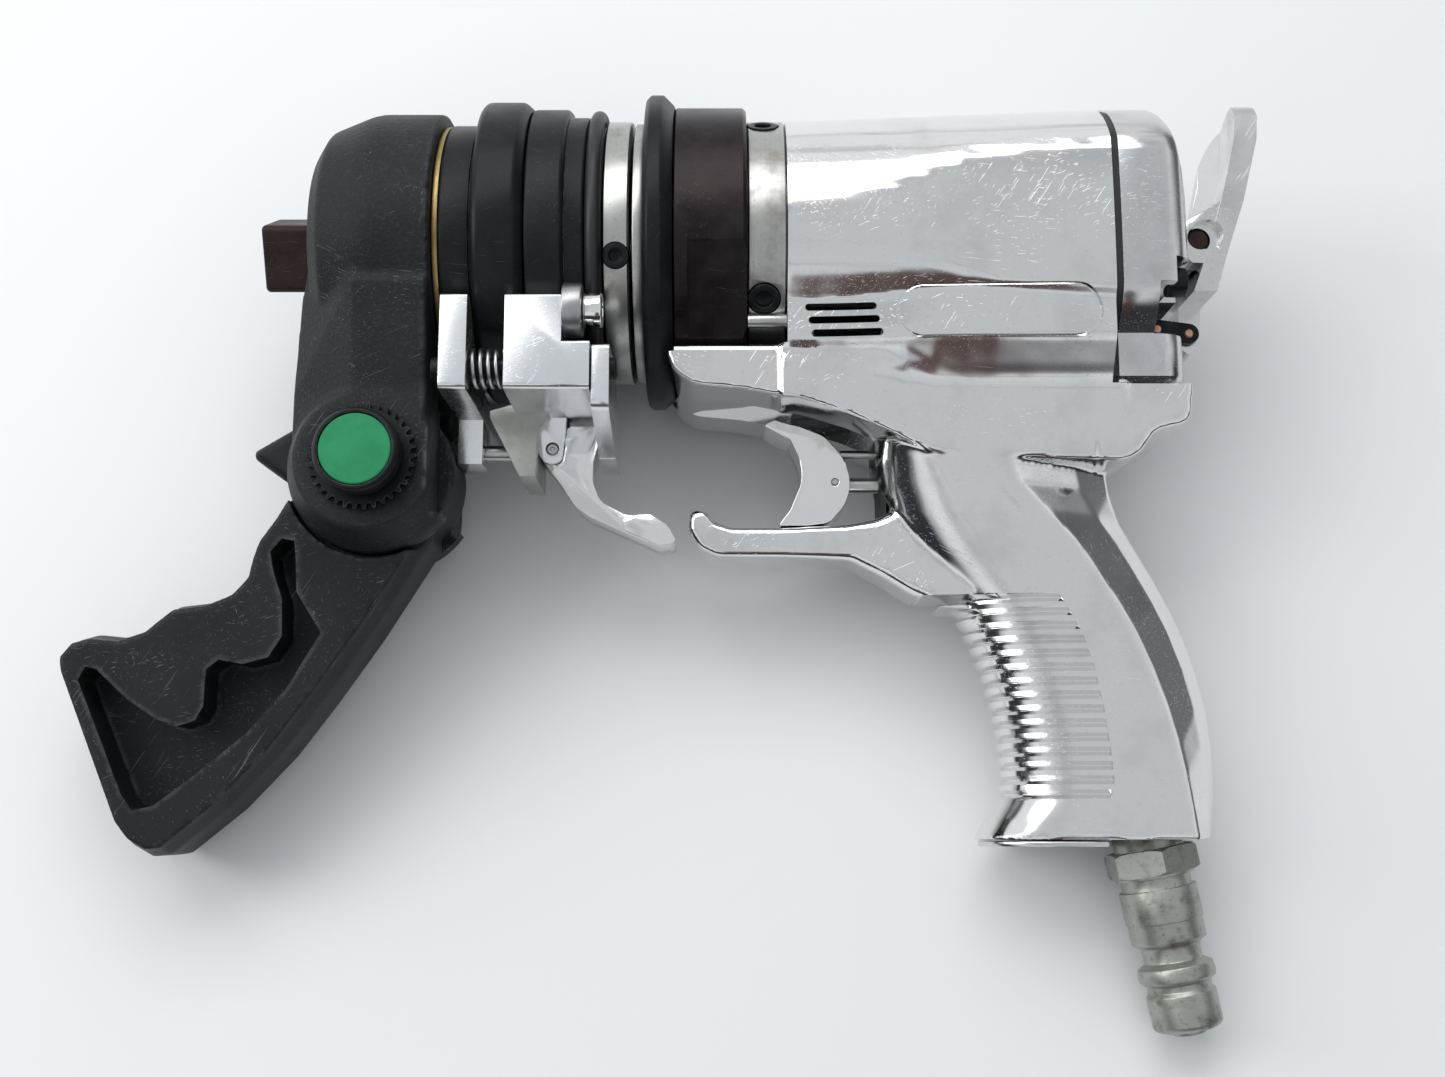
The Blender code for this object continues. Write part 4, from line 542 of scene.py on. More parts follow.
HOUSING_POLISH = polished_metal("housing_polish", (0.83, 0.83, 0.825), 0.075, 1.0, 0.10, 0.30)
CAP_POLISH = polished_metal("cap_polish", (0.67, 0.675, 0.68), 0.15, 0.8, 0.08, 0.50)
LATCH_POLISH = polished_metal("latch_polish", (0.85, 0.86, 0.88), 0.20, 0.6, 0.02, 0.18, 0.25)
BLASTED = plain_soft("bead_blasted_aluminium", (0.50, 0.50, 0.47), 0.46, 1600.0, 0.6, 1.0)
CHROME = polished_metal("bright_plate", (0.90, 0.90, 0.89), 0.07, 0.35, 0.03, 0.10)
LEVER_PLATE = polished_metal("lever_plate", (0.74, 0.74, 0.73), 0.16, 0.6, 0.06, 0.55)
BLACK_STEEL = blackened_steel("black_ring_steel", (0.011, 0.012, 0.013), 0.36, 0.7, 0.35)
COLLAR_BLACK = blackened_steel("black_collar_steel", (0.018, 0.014, 0.015), 0.28, 0.35, 0.6,
                               (0.034, 0.025, 0.026), 0.12)
DRIVE_BROWN = blackened_steel("drive_brown_steel", (0.022, 0.014, 0.012), 0.44, 0.4, 0.5,
                              (0.040, 0.026, 0.022))
BAND_STEEL = satin_steel("band_steel", (0.50, 0.50, 0.48), 0.26, 0.6, 0.55)
PIN_STEEL = satin_steel("pin_steel", (0.55, 0.55, 0.54), 0.25, 0.4, 0.2)
ROLLER_STEEL = satin_steel("roller_steel", (0.42, 0.43, 0.44), 0.30, 0.5, 0.25)
INNER_STEEL = satin_steel("inner_steel", (0.34, 0.34, 0.33), 0.34, 0.5, 0.3)
ZINC = satin_steel("zinc_plated_steel", (0.45, 0.46, 0.42), 0.36, 0.6, 0.9, 1)
WASHER_BRASS = satin_steel("washer_brass", (0.42, 0.31, 0.13), 0.36, 0.4, 0.5)
COPPER = satin_steel("rivet_copper", (0.66, 0.38, 0.27), 0.32, 0.3, 0.2)
ARM_CASTING = sand_cast("arm_casting", (0.0140, 0.0152, 0.0170), 0.50, 1.1, 0.34, 1.0)
HANDLE_FINISH = sand_cast("handle_finish", (0.0098, 0.0105, 0.0118), 0.47, 0.35, 0.05, 0.45, 0.1)
RUBBER = plain_soft("seal_rubber", (0.012, 0.012, 0.013), 0.45)
GREEN = plain_soft("green_enamel", (0.003, 0.270, 0.100), 0.62, 700.0, 0.2)
# near-black flat finish for the sheets in the trigger slot: painted shade, not a colour of the tool
SLOT_SHADE_PAINT = plain_soft("slot_black", (0.008, 0.008, 0.009), 0.5)


# ================================================================ housing
def smoothstep(value, low, high):
    share = min(1.0, max(0.0, (value - low) / (high - low)))
    return share * share * (3 - 2 * share)


def barrel_radius(x):
    """The barrel widens from its front to the cap."""
    return 37.5 + (x - HOUSING_FRONT) * 3.3 / 87.7


def arc_points(centre, radius, start, end, steps):
    return [(centre[0] + radius * math.cos(start + (end - start) * i / steps),
             centre[1] + radius * math.sin(start + (end - start) * i / steps)) for i in range(steps + 1)]


def pressed_flat(points, level):
    """Half of a round section with its side pressed almost flat above a level."""
    return [(y, min(z, level + 0.10 * (z - level))) for y, z in points]


def body_ring(x):
    """Half-moon of the barrel over the narrower body, as (y, z) points."""
    radius = barrel_radius(x)
    bulge = smoothstep(x, 150.0, 200.0)
    side = 29.5 + 3.6 * bulge
    wall = 28.0 - 3.0 * bulge
    top = math.atan2(side, -math.sqrt(radius ** 2 - side ** 2))
    near = arc_points((0, 0), radius, 0.0, top, 26)[1:]
    near = pressed_flat(near, 38.5 - 3.6 * smoothstep(x, 160.0, 212.0))
    edge = -35.2
    near += [(edge + 3, side), (edge + 1, side - 0.35), (edge - 1.2, side - 1.9)]
    near += [(edge - 5.5, wall + 3.2 * bulge), (edge - 8.5, wall + 1.0 * bulge), (edge - 11.5, wall),
             (-58.0, wall - 0.6), (-72.0, wall - 2.4)]
    far = [(y, -z) for y, z in reversed(near)]
    return [(radius, 0.0)] + near + far


NOSE_STEPS = 14


def grip_ring(front, crease, rear_crease, rear, half):
    """Grip section as (x, z) points: nose-like front, flat sides, bevelled rear."""
    points = []
    for step in range(NOSE_STEPS + 1):
        angle = math.pi / 2 * step / NOSE_STEPS
        points.append((crease - (crease - front) * math.cos(angle) ** 0.9,
                       half * math.sin(angle) ** 0.92))
    points.append((crease * 0.5 + rear_crease * 0.5, half + 0.25))
    points.append((rear_crease, half))
    points.append((rear_crease * 0.35 + rear * 0.65 - 0.12, half * 0.66))
    points.append((rear - 0.5, half * 0.36))
    points.append((rear, half * 0.12))
    return points + [(x, -z) for x, z in reversed(points[1:])]


GRIP_STATIONS = [
    # y, front, front crease, rear crease, rear, half width
    (-46.0, 174.0, 180.0, 205.0, 238.0, 25.0),
    (-56.0, 172.5, 184.0, 206.0, 237.5, 24.5),
    (-64.0, 172.0, 190.5, 207.5, 237.5, 23.5),
    (-72.0, 173.0, 198.0, 210.5, 238.5, 22.2),
    (-80.0, 176.0, 204.5, 218.5, 241.0, 20.8),
    (-88.0, 181.0, 211.0, 226.0, 245.5, 19.8),
    (-96.0, 187.5, 216.5, 231.5, 250.0, 19.0),
    (-104.0, 194.2, 221.6, 236.6, 254.0, 18.6),
    (-112.0, 198.0, 226.0, 241.0, 257.4, 18.4),
    (-122.0, 201.8, 229.0, 245.2, 260.6, 18.4),
    (-132.0, 204.6, 231.0, 248.6, 262.8, 18.4),
    (-142.0, 206.3, 232.3, 251.2, 263.7, 18.4),
    (-151.0, 206.9, 233.0, 253.0, 263.8, 18.3),
    (-155.5, 206.0, 232.0, 253.8, 263.6, 18.2),
    (-161.0, 202.4, 227.0, 254.8, 263.0, 18.0),
    (-166.6, 199.2, 222.5, 255.6, 262.4, 17.8)]


def station_at(y):
    for above, below in zip(GRIP_STATIONS, GRIP_STATIONS[1:]):
        if above[0] >= y >= below[0]:
            share = (above[0] - y) / (above[0] - below[0])
            return [a + (b - a) * share for a, b in zip(above, below)]
    return list(GRIP_STATIONS[-1])


GROOVES, TOP_GROOVE_Y, GROOVE_PITCH = 15, -102.6, 3.72


def finger_grooves():
    """V-shaped cutters between the fine ribs round the front of the grip."""
    cutters = []
    for groove in range(GROOVES):
        middle = TOP_GROOVE_Y - GROOVE_PITCH * groove
        rings = []
        for shift, depth in ((-1.45, -0.35), (-0.15, 1.05), (0.15, 1.05), (1.45, -0.35)):
            _, front, crease, rear_crease, rear, half = station_at(middle + shift)
            ring = grip_ring(front + 1.3 * depth, crease + 0.8, rear_crease, rear, half - depth)
            inner = ring[:NOSE_STEPS + 1]
            path = [(x, -z) for x, z in reversed(inner[1:])] + inner
            path += [(crease + 0.8, 27.0), (front - 8.0, 27.0), (front - 8.0, -27.0), (crease + 0.8, -27.0)]
            rings.append((middle + shift, path))
        cutters.append(loft(rings, "Y"))
    return join(*cutters)


def guard_ring(top, foot, half):
    """Section of the trigger guard's root as (y, z) points."""
    near = [(top, half - 2.6), (top - 0.8, half - 0.8), (top - 2.6, half), (foot + 2.6, half),
            (foot + 0.8, half - 0.8), (foot, half - 2.6)]
    return near + [(y, -z) for y, z in reversed(near)]


def pill(x0, x1, y, radius, low, high, steps=10):
    """Round-ended slot shape along X, cut along Z."""
    corners = arc_points((x0 + radius, y), radius, math.pi / 2, 3 * math.pi / 2, steps)
    corners += arc_points((x1 - radius, y), radius, -math.pi / 2, math.pi / 2, steps)
    return slab(corners, low, high)


def motor_housing():
    stations = [146.7, 156, 164, 172, 180, 188, 196, 204, 214, 226, 240]
    barrel_body = loft([(x, body_ring(x)) for x in stations], "X")
    below = slab([(140, -49.2), (152.0, -49.8), (165.0, -53.8), (176, -58.5), (186, -63.5),
                  (241.6, -66.6, 9.0), (247.0, -58.0), (260, -58.0), (260, -110), (140, -110)], -60, 60)
    barrel_body = carve(barrel_body, below)
    shelf = slab([(160.0, -34.6), (114.8, -34.6), (117.3, -41.8, 5.0), (123.0, -45.6, 5.0), (136.0, -46.8),
                  (152.0, -49.9), (160.0, -52.0)], -26.8, 26.8)
    rear_ledge = slab([(232.0, -40.0), (232.0, -66.0), (241.8, -66.2, 8.0), (247.5, -57.8, 5.0),
                       (257.2, -55.6, 4.0), (258.9, -40.0)], -24.6, 24.6)
    grip = loft([(y, grip_ring(*station)) for y, *station in GRIP_STATIONS], "Y")
    guard = slab([(184.0, -74.0), (173.0, -79.6), (165.0, -81.2), (146.7, -82.0), (133.5, -82.0),
                  (128.6, -80.4, 2.0), (126.2, -76.9, 1.5), (121.6, -77.4, 1.5), (121.4, -83.0, 3.0),
                  (124.4, -87.7, 3.0), (129.2, -90.1, 4.0), (148.0, -90.2), (166.4, -90.9),
                  (180.0, -92.0)], -10.5, 10.5, rim=2.6, segments=4)
    root = [(152.0, -82.0, -90.2, 10.4), (166.0, -81.2, -91.2, 10.6), (174.0, -79.0, -95.3, 11.0),
            (182.0, -75.5, -100.4, 11.8), (190.0, -72.0, -104.2, 13.0), (198.0, -70.0, -105.0, 14.0)]
    root = loft([(x, guard_ring(top, foot, half)) for x, top, foot, half in root], "X")
    solid = cast(join(barrel_body, shelf, rear_ledge, grip, guard, root), 0.75, 8)
    cuts = [
        rod(BARREL, RING_BORE, 100.0, 240.0, rim=0, steps=96),
        turned([(100.0, 0.0), (100.0, FLANGE_R + 0.5), (117.7, FLANGE_R + 0.5), (117.7, TUCKED),
                (HOUSING_FRONT, TUCKED), (HOUSING_FRONT, 0.0)], steps=96),
        brick((236.0, -45.2, -50.0), (270.0, 60.0, 50.0)),
        brick((100.0, -34.8, -50.0), (HOUSING_FRONT, 60.0, 50.0)),
        brick((150.0, -190.0, -40.0), (290.0, -166.8, 40.0)),
        slab([(110.0, -45.0), (168.0, -45.0, 4.0), (176.5, -56.0, 4.0), (176.5, -79.0, 3.0),
              (171.0, -81.6), (110.0, -81.6)], -9.3, 9.3),
        rod(GUIDE_PIN, 1.5, 172.0, 198.0, rim=0),
        rod(THROTTLE_ROD, 2.5, 172.0, 214.0, rim=0)]
    solid = carve(solid, *cuts)
    vents = [(153.0, 172.2, -25.4), (153.9, 173.0, -29.0), (154.7, 173.9, -32.6)]
    slots = [pill(x0, x1, y, 1.0, 3.0, 40.0, 6) for x0, x1, y in vents]
    outer = pill(177.2, 232.6, -27.2, 7.4, 26.0, 45.0, 14)
    inner = pill(178.1, 231.7, -27.2, 6.5, 25.0, 46.0, 14)
    groove = carve(outer, inner)
    skin = carve(brick((170, -40, 20), (240, -15, 45)), label_core())
    groove = carve(groove, skin, how="INTERSECT")
    solid = carve(solid, join(*slots), groove, finger_grooves())
    place("motor_housing_body", solid, HOUSING_POLISH, "housing", ["motor_housing"],
          38.0)
    # Two dark sheets line the back and roof of the trigger slot: painted shade inside the slot, not parts of
    # the tool.
    back = slab([(176.0, -46.0), (174.6, -46.0), (174.6, -80.4), (176.0, -79.4)], -9.25, 9.25)
    holes = rod(GUIDE_PIN, 1.8, 170.0, 180.0, rim=0), rod(THROTTLE_ROD, 2.8, 170.0, 180.0, rim=0)
    place("trigger_slot_shade_back", carve(back, *holes), SLOT_SHADE_PAINT, "housing")
    roof = slab([(151.0, -45.3), (173.0, -45.3), (173.0, -46.4), (151.0, -46.4)], -9.25, 9.25, rim=0.2)
    place("trigger_slot_shade_roof", roof, SLOT_SHADE_PAINT, "housing")
    plate = [(x, z) for x, z in grip_ring(200.4, 223.5, 232.0, 236.0, 17.2) if x < 235.5]
    place("exhaust_cover", slab(plate, -168.4, -166.95, "Y", rim=0.35, segments=2), CAP_POLISH, "housing")


def label_core():
    """Inner limit of the engraved outline: the barrel's side, half a millimetre in."""
    rings = []
    for x in (165, 180, 196, 214, 245):
        rings.append((x, [(y * 0.975, z * 0.965) for y, z in body_ring(x)]))
    return loft(rings, "X")


# ================================================================ rear cap, lever and spool
def cap_ring(x_inset):
    radius = 40.8 - x_inset
    half = 26.0 - x_inset
    floor = -44.9 + x_inset * 0.3
    drop = -math.sqrt(radius ** 2 - half ** 2)
    top = math.atan2(half, drop)
    near = pressed_flat(arc_points((0, 0), radius, 0.0, top, 26)[1:], 34.9 - x_inset)
    near += [(floor + 1.5, half - 0.2), (floor, half - 1.5)]
    return [(radius, 0.0)] + near + [(y, -z) for y, z in reversed(near)]


def rear_cap():
    gasket = slab(cap_ring(0.5), 236.1, 238.1, "X")
    gasket = carve(gasket, rod(BARREL, 32.0, 230, 240, rim=0, steps=64))
    place("gasket_line", gasket, RUBBER, "housing", ["cap_gasket"])
    shell = loft([(237.9, cap_ring(0.0)), (250.0, cap_ring(0.0)), (253.2, cap_ring(0.8)),
                  (255.4, cap_ring(2.6)), (256.9, cap_ring(6.0))], "X")
    slope = Vector((39.0, 7.6, 0.0)).normalized()
    bmesh.ops.bisect_plane(shell, geom=shell.verts[:] + shell.edges[:] + shell.faces[:],
                           plane_co=(250.7, 37.0, 0.0), plane_no=slope, clear_outer=True)
    bmesh.ops.holes_fill(shell, edges=[edge for edge in shell.edges if edge.is_boundary], sides=0)
    lug = slab([(250.9, -13.3), (261.5, -9.3), (266.5, -8.5), (270.0, -2.9), (266.5, 4.7), (260.5, 5.1),
                (250.9, 7.1)], -12.9, 12.9, rim=0.5)
    cap = carve(shell, lug, how="UNION")
    cuts = [rod(LEVER_PIVOT, 3.5, -30, 30, "Z", 0),
            brick((247.7, -31.6, -16.0), (266.0, -19.6, 50.0)),
            brick((252.3, -24.0, 16.0), (266.0, -12.6, 50.0)),
            rod(SPOOL, 4.3, 236.0, 252.0, rim=0)]
    cuts += [rod((y, z), 5.4, seat, 262.0, rim=0) for y, z, seat in CAP_SCREWS]
    cap = tidy_edges(carve(cap, *cuts), 0.5, 3)
    place("rear_cap_shell", cap, CAP_POLISH, "housing", ["rear_cap"])
    for index, (y, z, seat) in enumerate(CAP_SCREWS):
        profile = [(-1.0, 0.0), (-1.0, 4.0), (4.0, 4.0), (4.0, 2.3), (3.4, 2.1), (1.2, 2.1), (1.2, 0.0)]
        head = turned([(seat + along, radius) for along, radius in profile], centre=(0, y, z), steps=32,
                      rim=0.25)
        place(f"cap_screw_head_{index + 1}", head, BLACK_STEEL, "housing",
              [f"cap_screw_{index + 1}"])
    pin = turned([(-17.6, 0.0), (-17.6, 2.7), (-17.1, 3.2), (17.1, 3.2), (17.6, 2.7), (17.6, 0.0)], "Z",
                 (*LEVER_PIVOT, 0.0), 40)
    place("lever_cross_pin", pin, DRIVE_BROWN, "housing", ["lever_pin"])


def reverse_lever():
    """Thumb paddle: a bent strap with a dished front, two pivot cheeks and a narrow lower arm."""
    strap = slab([(274.8, 38.6, 1.4), (280.8, 39.0, 1.8), (281.3, 34.0), (280.8, 27.0), (278.6, 18.5),
                  (276.2, 9.0), (270.6, -7.2), (267.0, -18.8), (266.2, -28.0, 2.0), (263.6, -32.0, 1.5),
                  (260.4, -29.0, 1.0), (260.8, -18.0), (264.6, -8.0), (270.0, 9.0), (272.4, 18.5),
                  (274.4, 27.0), (275.0, 34.0)], -20.0, 20.0)
    cheeks = []
    for mirror in (-1, 1):
        low, high = sorted((mirror * 13.3, mirror * 19.6))
        cheeks.append(slab([(258.1, 1.4, 0.8), (257.5, -4.6, 0.8), (261.0, -9.2, 0.8), (266.0, -9.4),
                            (270.5, -6.0), (273.6, 3.0), (270.2, 9.0), (263.0, 4.9, 0.8)], low, high))
    lever = carve(strap, *cheeks, how="UNION")
    cuts = [dish_of_paddle(), rod(LEVER_PIVOT, 7.9, -13.3, 13.3, "Z", 0, 48),
            rod(LEVER_PIVOT, 3.5, -30.0, 30.0, "Z", 0), rod((265.6, -0.9), 4.4, 17.4, 25.0, "Z", 0)]
    far_corner = [(60.0, -30.0), (60.0, -2.0)] + arc_points((19.4, -2.0), 19.6, 0.0, -math.pi / 2, 12)
    far_corner += [(10.0, -21.6), (10.0, -30.0)]
    cuts.append(slab(far_corner, 240.0, 300.0, "X"))
    near_corner = [(60.0, 30.0), (10.0, 30.0), (10.0, 20.2)]
    near_corner += arc_points((32.2, 13.6), 6.6, math.pi / 2, 0.0, 8) + [(60.0, 13.6)]
    cuts.append(slab(near_corner, 240.0, 300.0, "X"))
    for mirror in (-1, 1):
        low, high = sorted((mirror * 5.0, mirror * 22.0))
        cuts.append(brick((250.0, -40.0, low), (285.0, -17.5, high)))
    lever = tidy_edges(carve(lever, *cuts), 0.7, 3, 35.0)
    place("reverse_lever_paddle", lever, LEVER_PLATE, "reverse_lever", ["reverse_lever"])


def dish_of_paddle():
    """Shallow V-shaped trough down the front of the paddle."""
    foot = [(262.0, -16.0), (270.4, -16.0), (273.0, -2.0), (270.4, 14.0), (262.0, 14.0)]
    lean = ((11.0, 0.0), (27.0, 4.2), (52.0, 5.6))
    return loft([(y, [(x + shift, z) for x, z in foot]) for y, shift in lean], "Y")


def spool_link():
    tang = 247.6
    spool = turned([(230.0, 0.0), (230.0, 4.0), (tang + 4, 4.0), (tang + 4, 0.0)], centre=(0, *SPOOL),
                   steps=40, rim=0.3)
    spool = carve(spool, brick((tang + 2, -27.4, -3.2), (tang + 9.2, -22.6, 3.2)), how="UNION")
    place("spool_end", tidy_edges(spool, 0.2), INNER_STEEL, "spool", ["reversing_spool"])
    near, far = (tang + 6.4, -24.4), (262.9, -25.6)
    corners = arc_points(near, 3.0, math.pi / 2, 3 * math.pi / 2, 10)
    corners += arc_points(far, 3.0, -math.pi / 2, math.pi / 2, 10)
    for name, low in (("link_plate_near", 5.3), ("link_plate_far", -6.8)):
        plate = slab(corners, low, low + 1.5, rim=0.25, segments=2)
        place(name, plate, BLACK_STEEL, "spool", ["link_plate"] if low > 0 else ())
    rivets = []
    profile = [(-7.4, 0.0), (-7.2, 1.0), (-6.9, 1.3), (6.9, 1.3), (7.25, 1.0), (7.4, 0.0)]
    for end in (near, far):
        rivets.append(turned(profile, "Z", (*end, 0.0), 24))
    place("link_rivets", join(*rivets), COPPER, "spool")


# ================================================================ air inlet
def inlet_turned(profile, steps=72):
    """Turned shape on the inlet's axis: 0 at the foot of the grip, positive outwards."""
    bm = turned(profile, "Y", steps=steps, rim=0.3)
    bmesh.ops.scale(bm, verts=bm.verts, vec=(1, -1, 1))
    bmesh.ops.recalc_face_normals(bm, faces=bm.faces)
    turn = Matrix.Rotation(INLET_TILT, 4, "Z")
    bmesh.ops.transform(bm, matrix=Matrix.Translation((*INLET, 0.0)) @ turn, verts=bm.verts)
    return bm


def air_inlet():
    body = inlet_turned([(-11.0, 4.5), (-11.0, 9.2), (0.8, 9.2), (0.8, 10.6), (8.4, 10.6), (8.4, 9.4),
                         (11.4, 9.4), (11.4, 10.4), (20.2, 10.4), (20.2, 10.0), (25.4, 10.0), (26.6, 8.0),
                         (27.6, 7.7), (30.6, 7.7), (32.0, 10.0), (34.2, 10.3), (35.6, 10.1), (36.6, 8.6),
                         (38.2, 8.4), (39.2, 9.3), (47.3, 9.3), (48.2, 8.7), (48.8, 7.6), (48.8, 4.5)])
    hexagon = bmesh.new()
    bmesh.ops.create_circle(hexagon, cap_ends=True, segments=6, radius=22.2 / math.sqrt(3))
    turn = (Matrix.Translation((*INLET, 0.0)) @ Matrix.Rotation(INLET_TILT, 4, "Z")
            @ Matrix.Rotation(math.pi / 2, 4, "X"))
    made = bmesh.ops.extrude_face_region(hexagon, geom=list(hexagon.faces))
    bmesh.ops.translate(hexagon, verts=verts_of(made), vec=(0, 0, 6.8))
    bmesh.ops.translate(hexagon, verts=hexagon.verts, vec=(0, 0, 0.8))
    bmesh.ops.recalc_face_normals(hexagon, faces=hexagon.faces)
    bmesh.ops.transform(hexagon, matrix=turn, verts=hexagon.verts)
    cone = inlet_turned([(0.8, 0.0), (0.8, 11.6), (1.6, 12.9), (6.8, 12.9), (7.6, 11.6), (7.6, 0.0)])
    hexagon = carve(hexagon, cone, how="INTERSECT")
    nipple = carve(body, hexagon, how="UNION")
    bore = inlet_turned([(-12.0, 0.0), (-12.0, 4.5), (50.0, 4.5), (50.0, 0.0)])
    nipple = carve(nipple, bore)
    place("air_plug", tidy_edges(nipple, 0.25), ZINC, "housing", ["air_nipple"], 40.0)


# ================================================================ rings along the barrel
def grub_screw(name, angle, along, seat_r, radius, body, replaces, socket):
    seat = around(angle, seat_r, along)
    outward = Vector((0.0, seat.y, seat.z)).normalized()
    bm = turned([(-3.4, 0.0), (-3.4, radius), (0.0, radius), (0.0, socket + 0.3), (-0.3, socket),
                 (-2.0, socket), (-2.3, 0.0)], "Z", steps=36, rim=0.3)
    place(name, aimed(bm, outward, seat), BLACK_STEEL, body, replaces)


def grub_hole(angle, seat_r, along, radius):
    seat = around(angle, seat_r, along)
    outward = Vector((0.0, seat.y, seat.z)).normalized()
    return aimed(rod((0, 0), radius, -4.5, 8.0, "Z", 0), outward, seat)


def rings():
    def steel_ring(name, profile, material, body, node, rim=0.5):
        place(name, turned(profile, rim=rim), material, body, [node])

    steel_ring("brass_thrust_washer", [(52.7, 15.5), (52.7, 36.0), (54.2, 36.0), (54.2, 15.5)], WASHER_BRASS,
               "gearbox", "thrust_washer", 0.2)
    steel_ring("nose_case", [(54.5, 28.6), (54.5, 36.2), (55.4, 36.4), (62.4, 36.4), (62.4, 35.6),
                             (63.5, 35.6), (63.5, CASE_R), (105.5, CASE_R), (105.5, 28.6)], BLACK_STEEL,
               "gearbox", "gear_case", 0.25)
    steel_ring("front_collar_ring", [(63.8, RING_BORE), (63.8, 41.6), (65.2, 42.8), (75.0, 42.8),
                                     (77.5, 40.6), (77.5, RING_BORE)], BLACK_STEEL, "gearbox",
               "front_collar", 0.6)
    steel_ring("stepped_sleeve", [(77.8, RING_BORE), (77.8, 40.4), (78.3, 40.8), (87.2, 40.8), (88.2, 39.9),
                                  (88.2, 38.6), (93.0, 38.6), (93.7, 38.0), (93.7, 36.0), (98.3, 36.0),
                                  (98.3, RING_BORE)], BLACK_STEEL, "gearbox",
               "step_sleeve", 0.4)
    seal = arc_points((96.0, 38.4), 2.1, 0.0, math.tau * 17 / 18, 17)
    place("seal_cord", turned(seal), RUBBER, "gearbox", ["seal_ring"], 60.0)
    band = turned([(98.6, RING_BORE), (98.6, 37.0), (99.0, SLEEVE_BAND_R), (105.1, SLEEVE_BAND_R),
                   (105.5, 37.0), (105.5, RING_BORE)])
    band = carve(band, grub_hole(20.0, SLEEVE_BAND_R, 102.1, 3.7))
    place("front_steel_band", tidy_edges(band, 0.15), BAND_STEEL, "gearbox", ["front_band"])
    grub_screw("front_grub_screw", 20.0, 102.1, 37.5, 3.4, "gearbox", ["front_set_screw"], 1.7)

    steel_ring("spacer_band", [(106.5, RING_BORE), (106.5, 36.9), (109.2, 36.9), (109.2, RING_BORE)],
               BAND_STEEL, "housing", "spacer_ring", 0.3)
    steel_ring("flange_rim", [(109.5, RING_BORE), (109.5, 43.5), (110.8, 44.8), (114.2, 44.8), (117.1, 41.9),
                              (117.4, 41.3), (117.4, RING_BORE)], BLACK_STEEL, "housing",
               "flange_ring", 0.3)
    collar = turned([(117.7, RING_BORE), (117.7, 41.0), (118.0, 41.3), (136.3, 41.3), (137.3, 40.4),
                     (137.3, RING_BORE)])
    flat = brick((121.4, -13.5, 39.0), (140.0, 13.5, 50.0))
    lean = Matrix.Rotation(math.radians(33.0), 3, "X")
    bmesh.ops.rotate(flat, cent=(0, 0, 0), matrix=lean, verts=flat.verts)
    collar = carve(collar, flat)
    place("rear_collar_ring", tidy_edges(collar, 0.4, 3, 12.0), COLLAR_BLACK, "housing",
          ["rear_collar"], 12.0)
    case = turned([(106.5, CASE_BORE), (106.5, CASE_R), (137.6, CASE_R), (137.6, 37.0),
                   (138.0, SLEEVE_BAND_R), (147.6, SLEEVE_BAND_R), (147.9, 37.0), (147.9, CASE_R),
                   (235.0, CASE_R), (235.0, CASE_BORE)])
    case = carve(case, *[grub_hole(angle, SLEEVE_BAND_R, 142.0, 4.6) for angle in REAR_GRUB_ANGLES])
    place("rear_steel_band", tidy_edges(case, 0.12), BAND_STEEL, "housing", ["motor_case"])
    for index, angle in enumerate(REAR_GRUB_ANGLES):
        node = [f"rear_set_screw_{index + 1}"] if index < 2 else ()
        grub_screw(f"rear_grub_screw_{index + 1}", angle, 142.0, 37.6, 4.2, "housing", node, 2.3)
    place("dowel_pin", rod(DOWEL, 1.9, 137.6, 148.2), PIN_STEEL, "housing")


# ================================================================ arm, drive, button
def reaction_arm():
    hub = turned([(17.3, 15.4), (17.3, 28.6), (21.3, 34.6), (32.3, 38.9), (35.6, 39.5), (52.4, 39.5),
                  (52.4, 15.4)], steps=96)
    strap = []
    for y, half, front in ((12.0, 28.0, 17.2), (-20.0, 36.0, 14.2), (PIVOT[1] + 19.5, 29.8, 12.2),
                           (PIVOT[1], 29.8, 12.2)):
        strap.append((y, [(51.6, -half), (51.6, half), (31.7, half), (front, half / 2), (front, -half / 2),
                          (31.7, -half)]))
    boss = turned([(-30.0, 0.0), (-30.0, 18.8), (-18.0, 23.5), (18.0, 23.5), (30.0, 18.8), (30.0, 0.0)], "Z",
                  (*PIVOT, 0.0), 96)
    arm = cast(join(hub, loft(strap, "Y"), boss), 0.8, 8)
    slot = slab([(0.0, -100.0), (70.0, -100.0), (70.0, -43.9, 6.0), (0.0, -43.9, 6.0)], -12.0, 12.0)
    arm = carve(arm, slot, rod(PIVOT, PIVOT_HOLE, -60.0, 60.0, "Z", 0, 48),
                rod(BARREL, 15.4, 0.0, 60.0, "X", 0, 64), brick((52.4, -80, -50), (70, 50, 50)))
    place("reaction_arm_casting", arm, ARM_CASTING, "gearbox", ["reaction_arm"], 45.0)
    bolt = turned([(-32.6, 0.0), (-32.6, 9.6), (-32.0, 10.6), (-30.3, 11.0), (-30.3, 7.5), (29.0, 7.5),
                   (29.0, 0.0)], "Z", (*PIVOT, 0.0), 64, rim=0.3)
    place("pivot_bolt_body", bolt, BLACK_STEEL, "gearbox", ["pivot_bolt"])


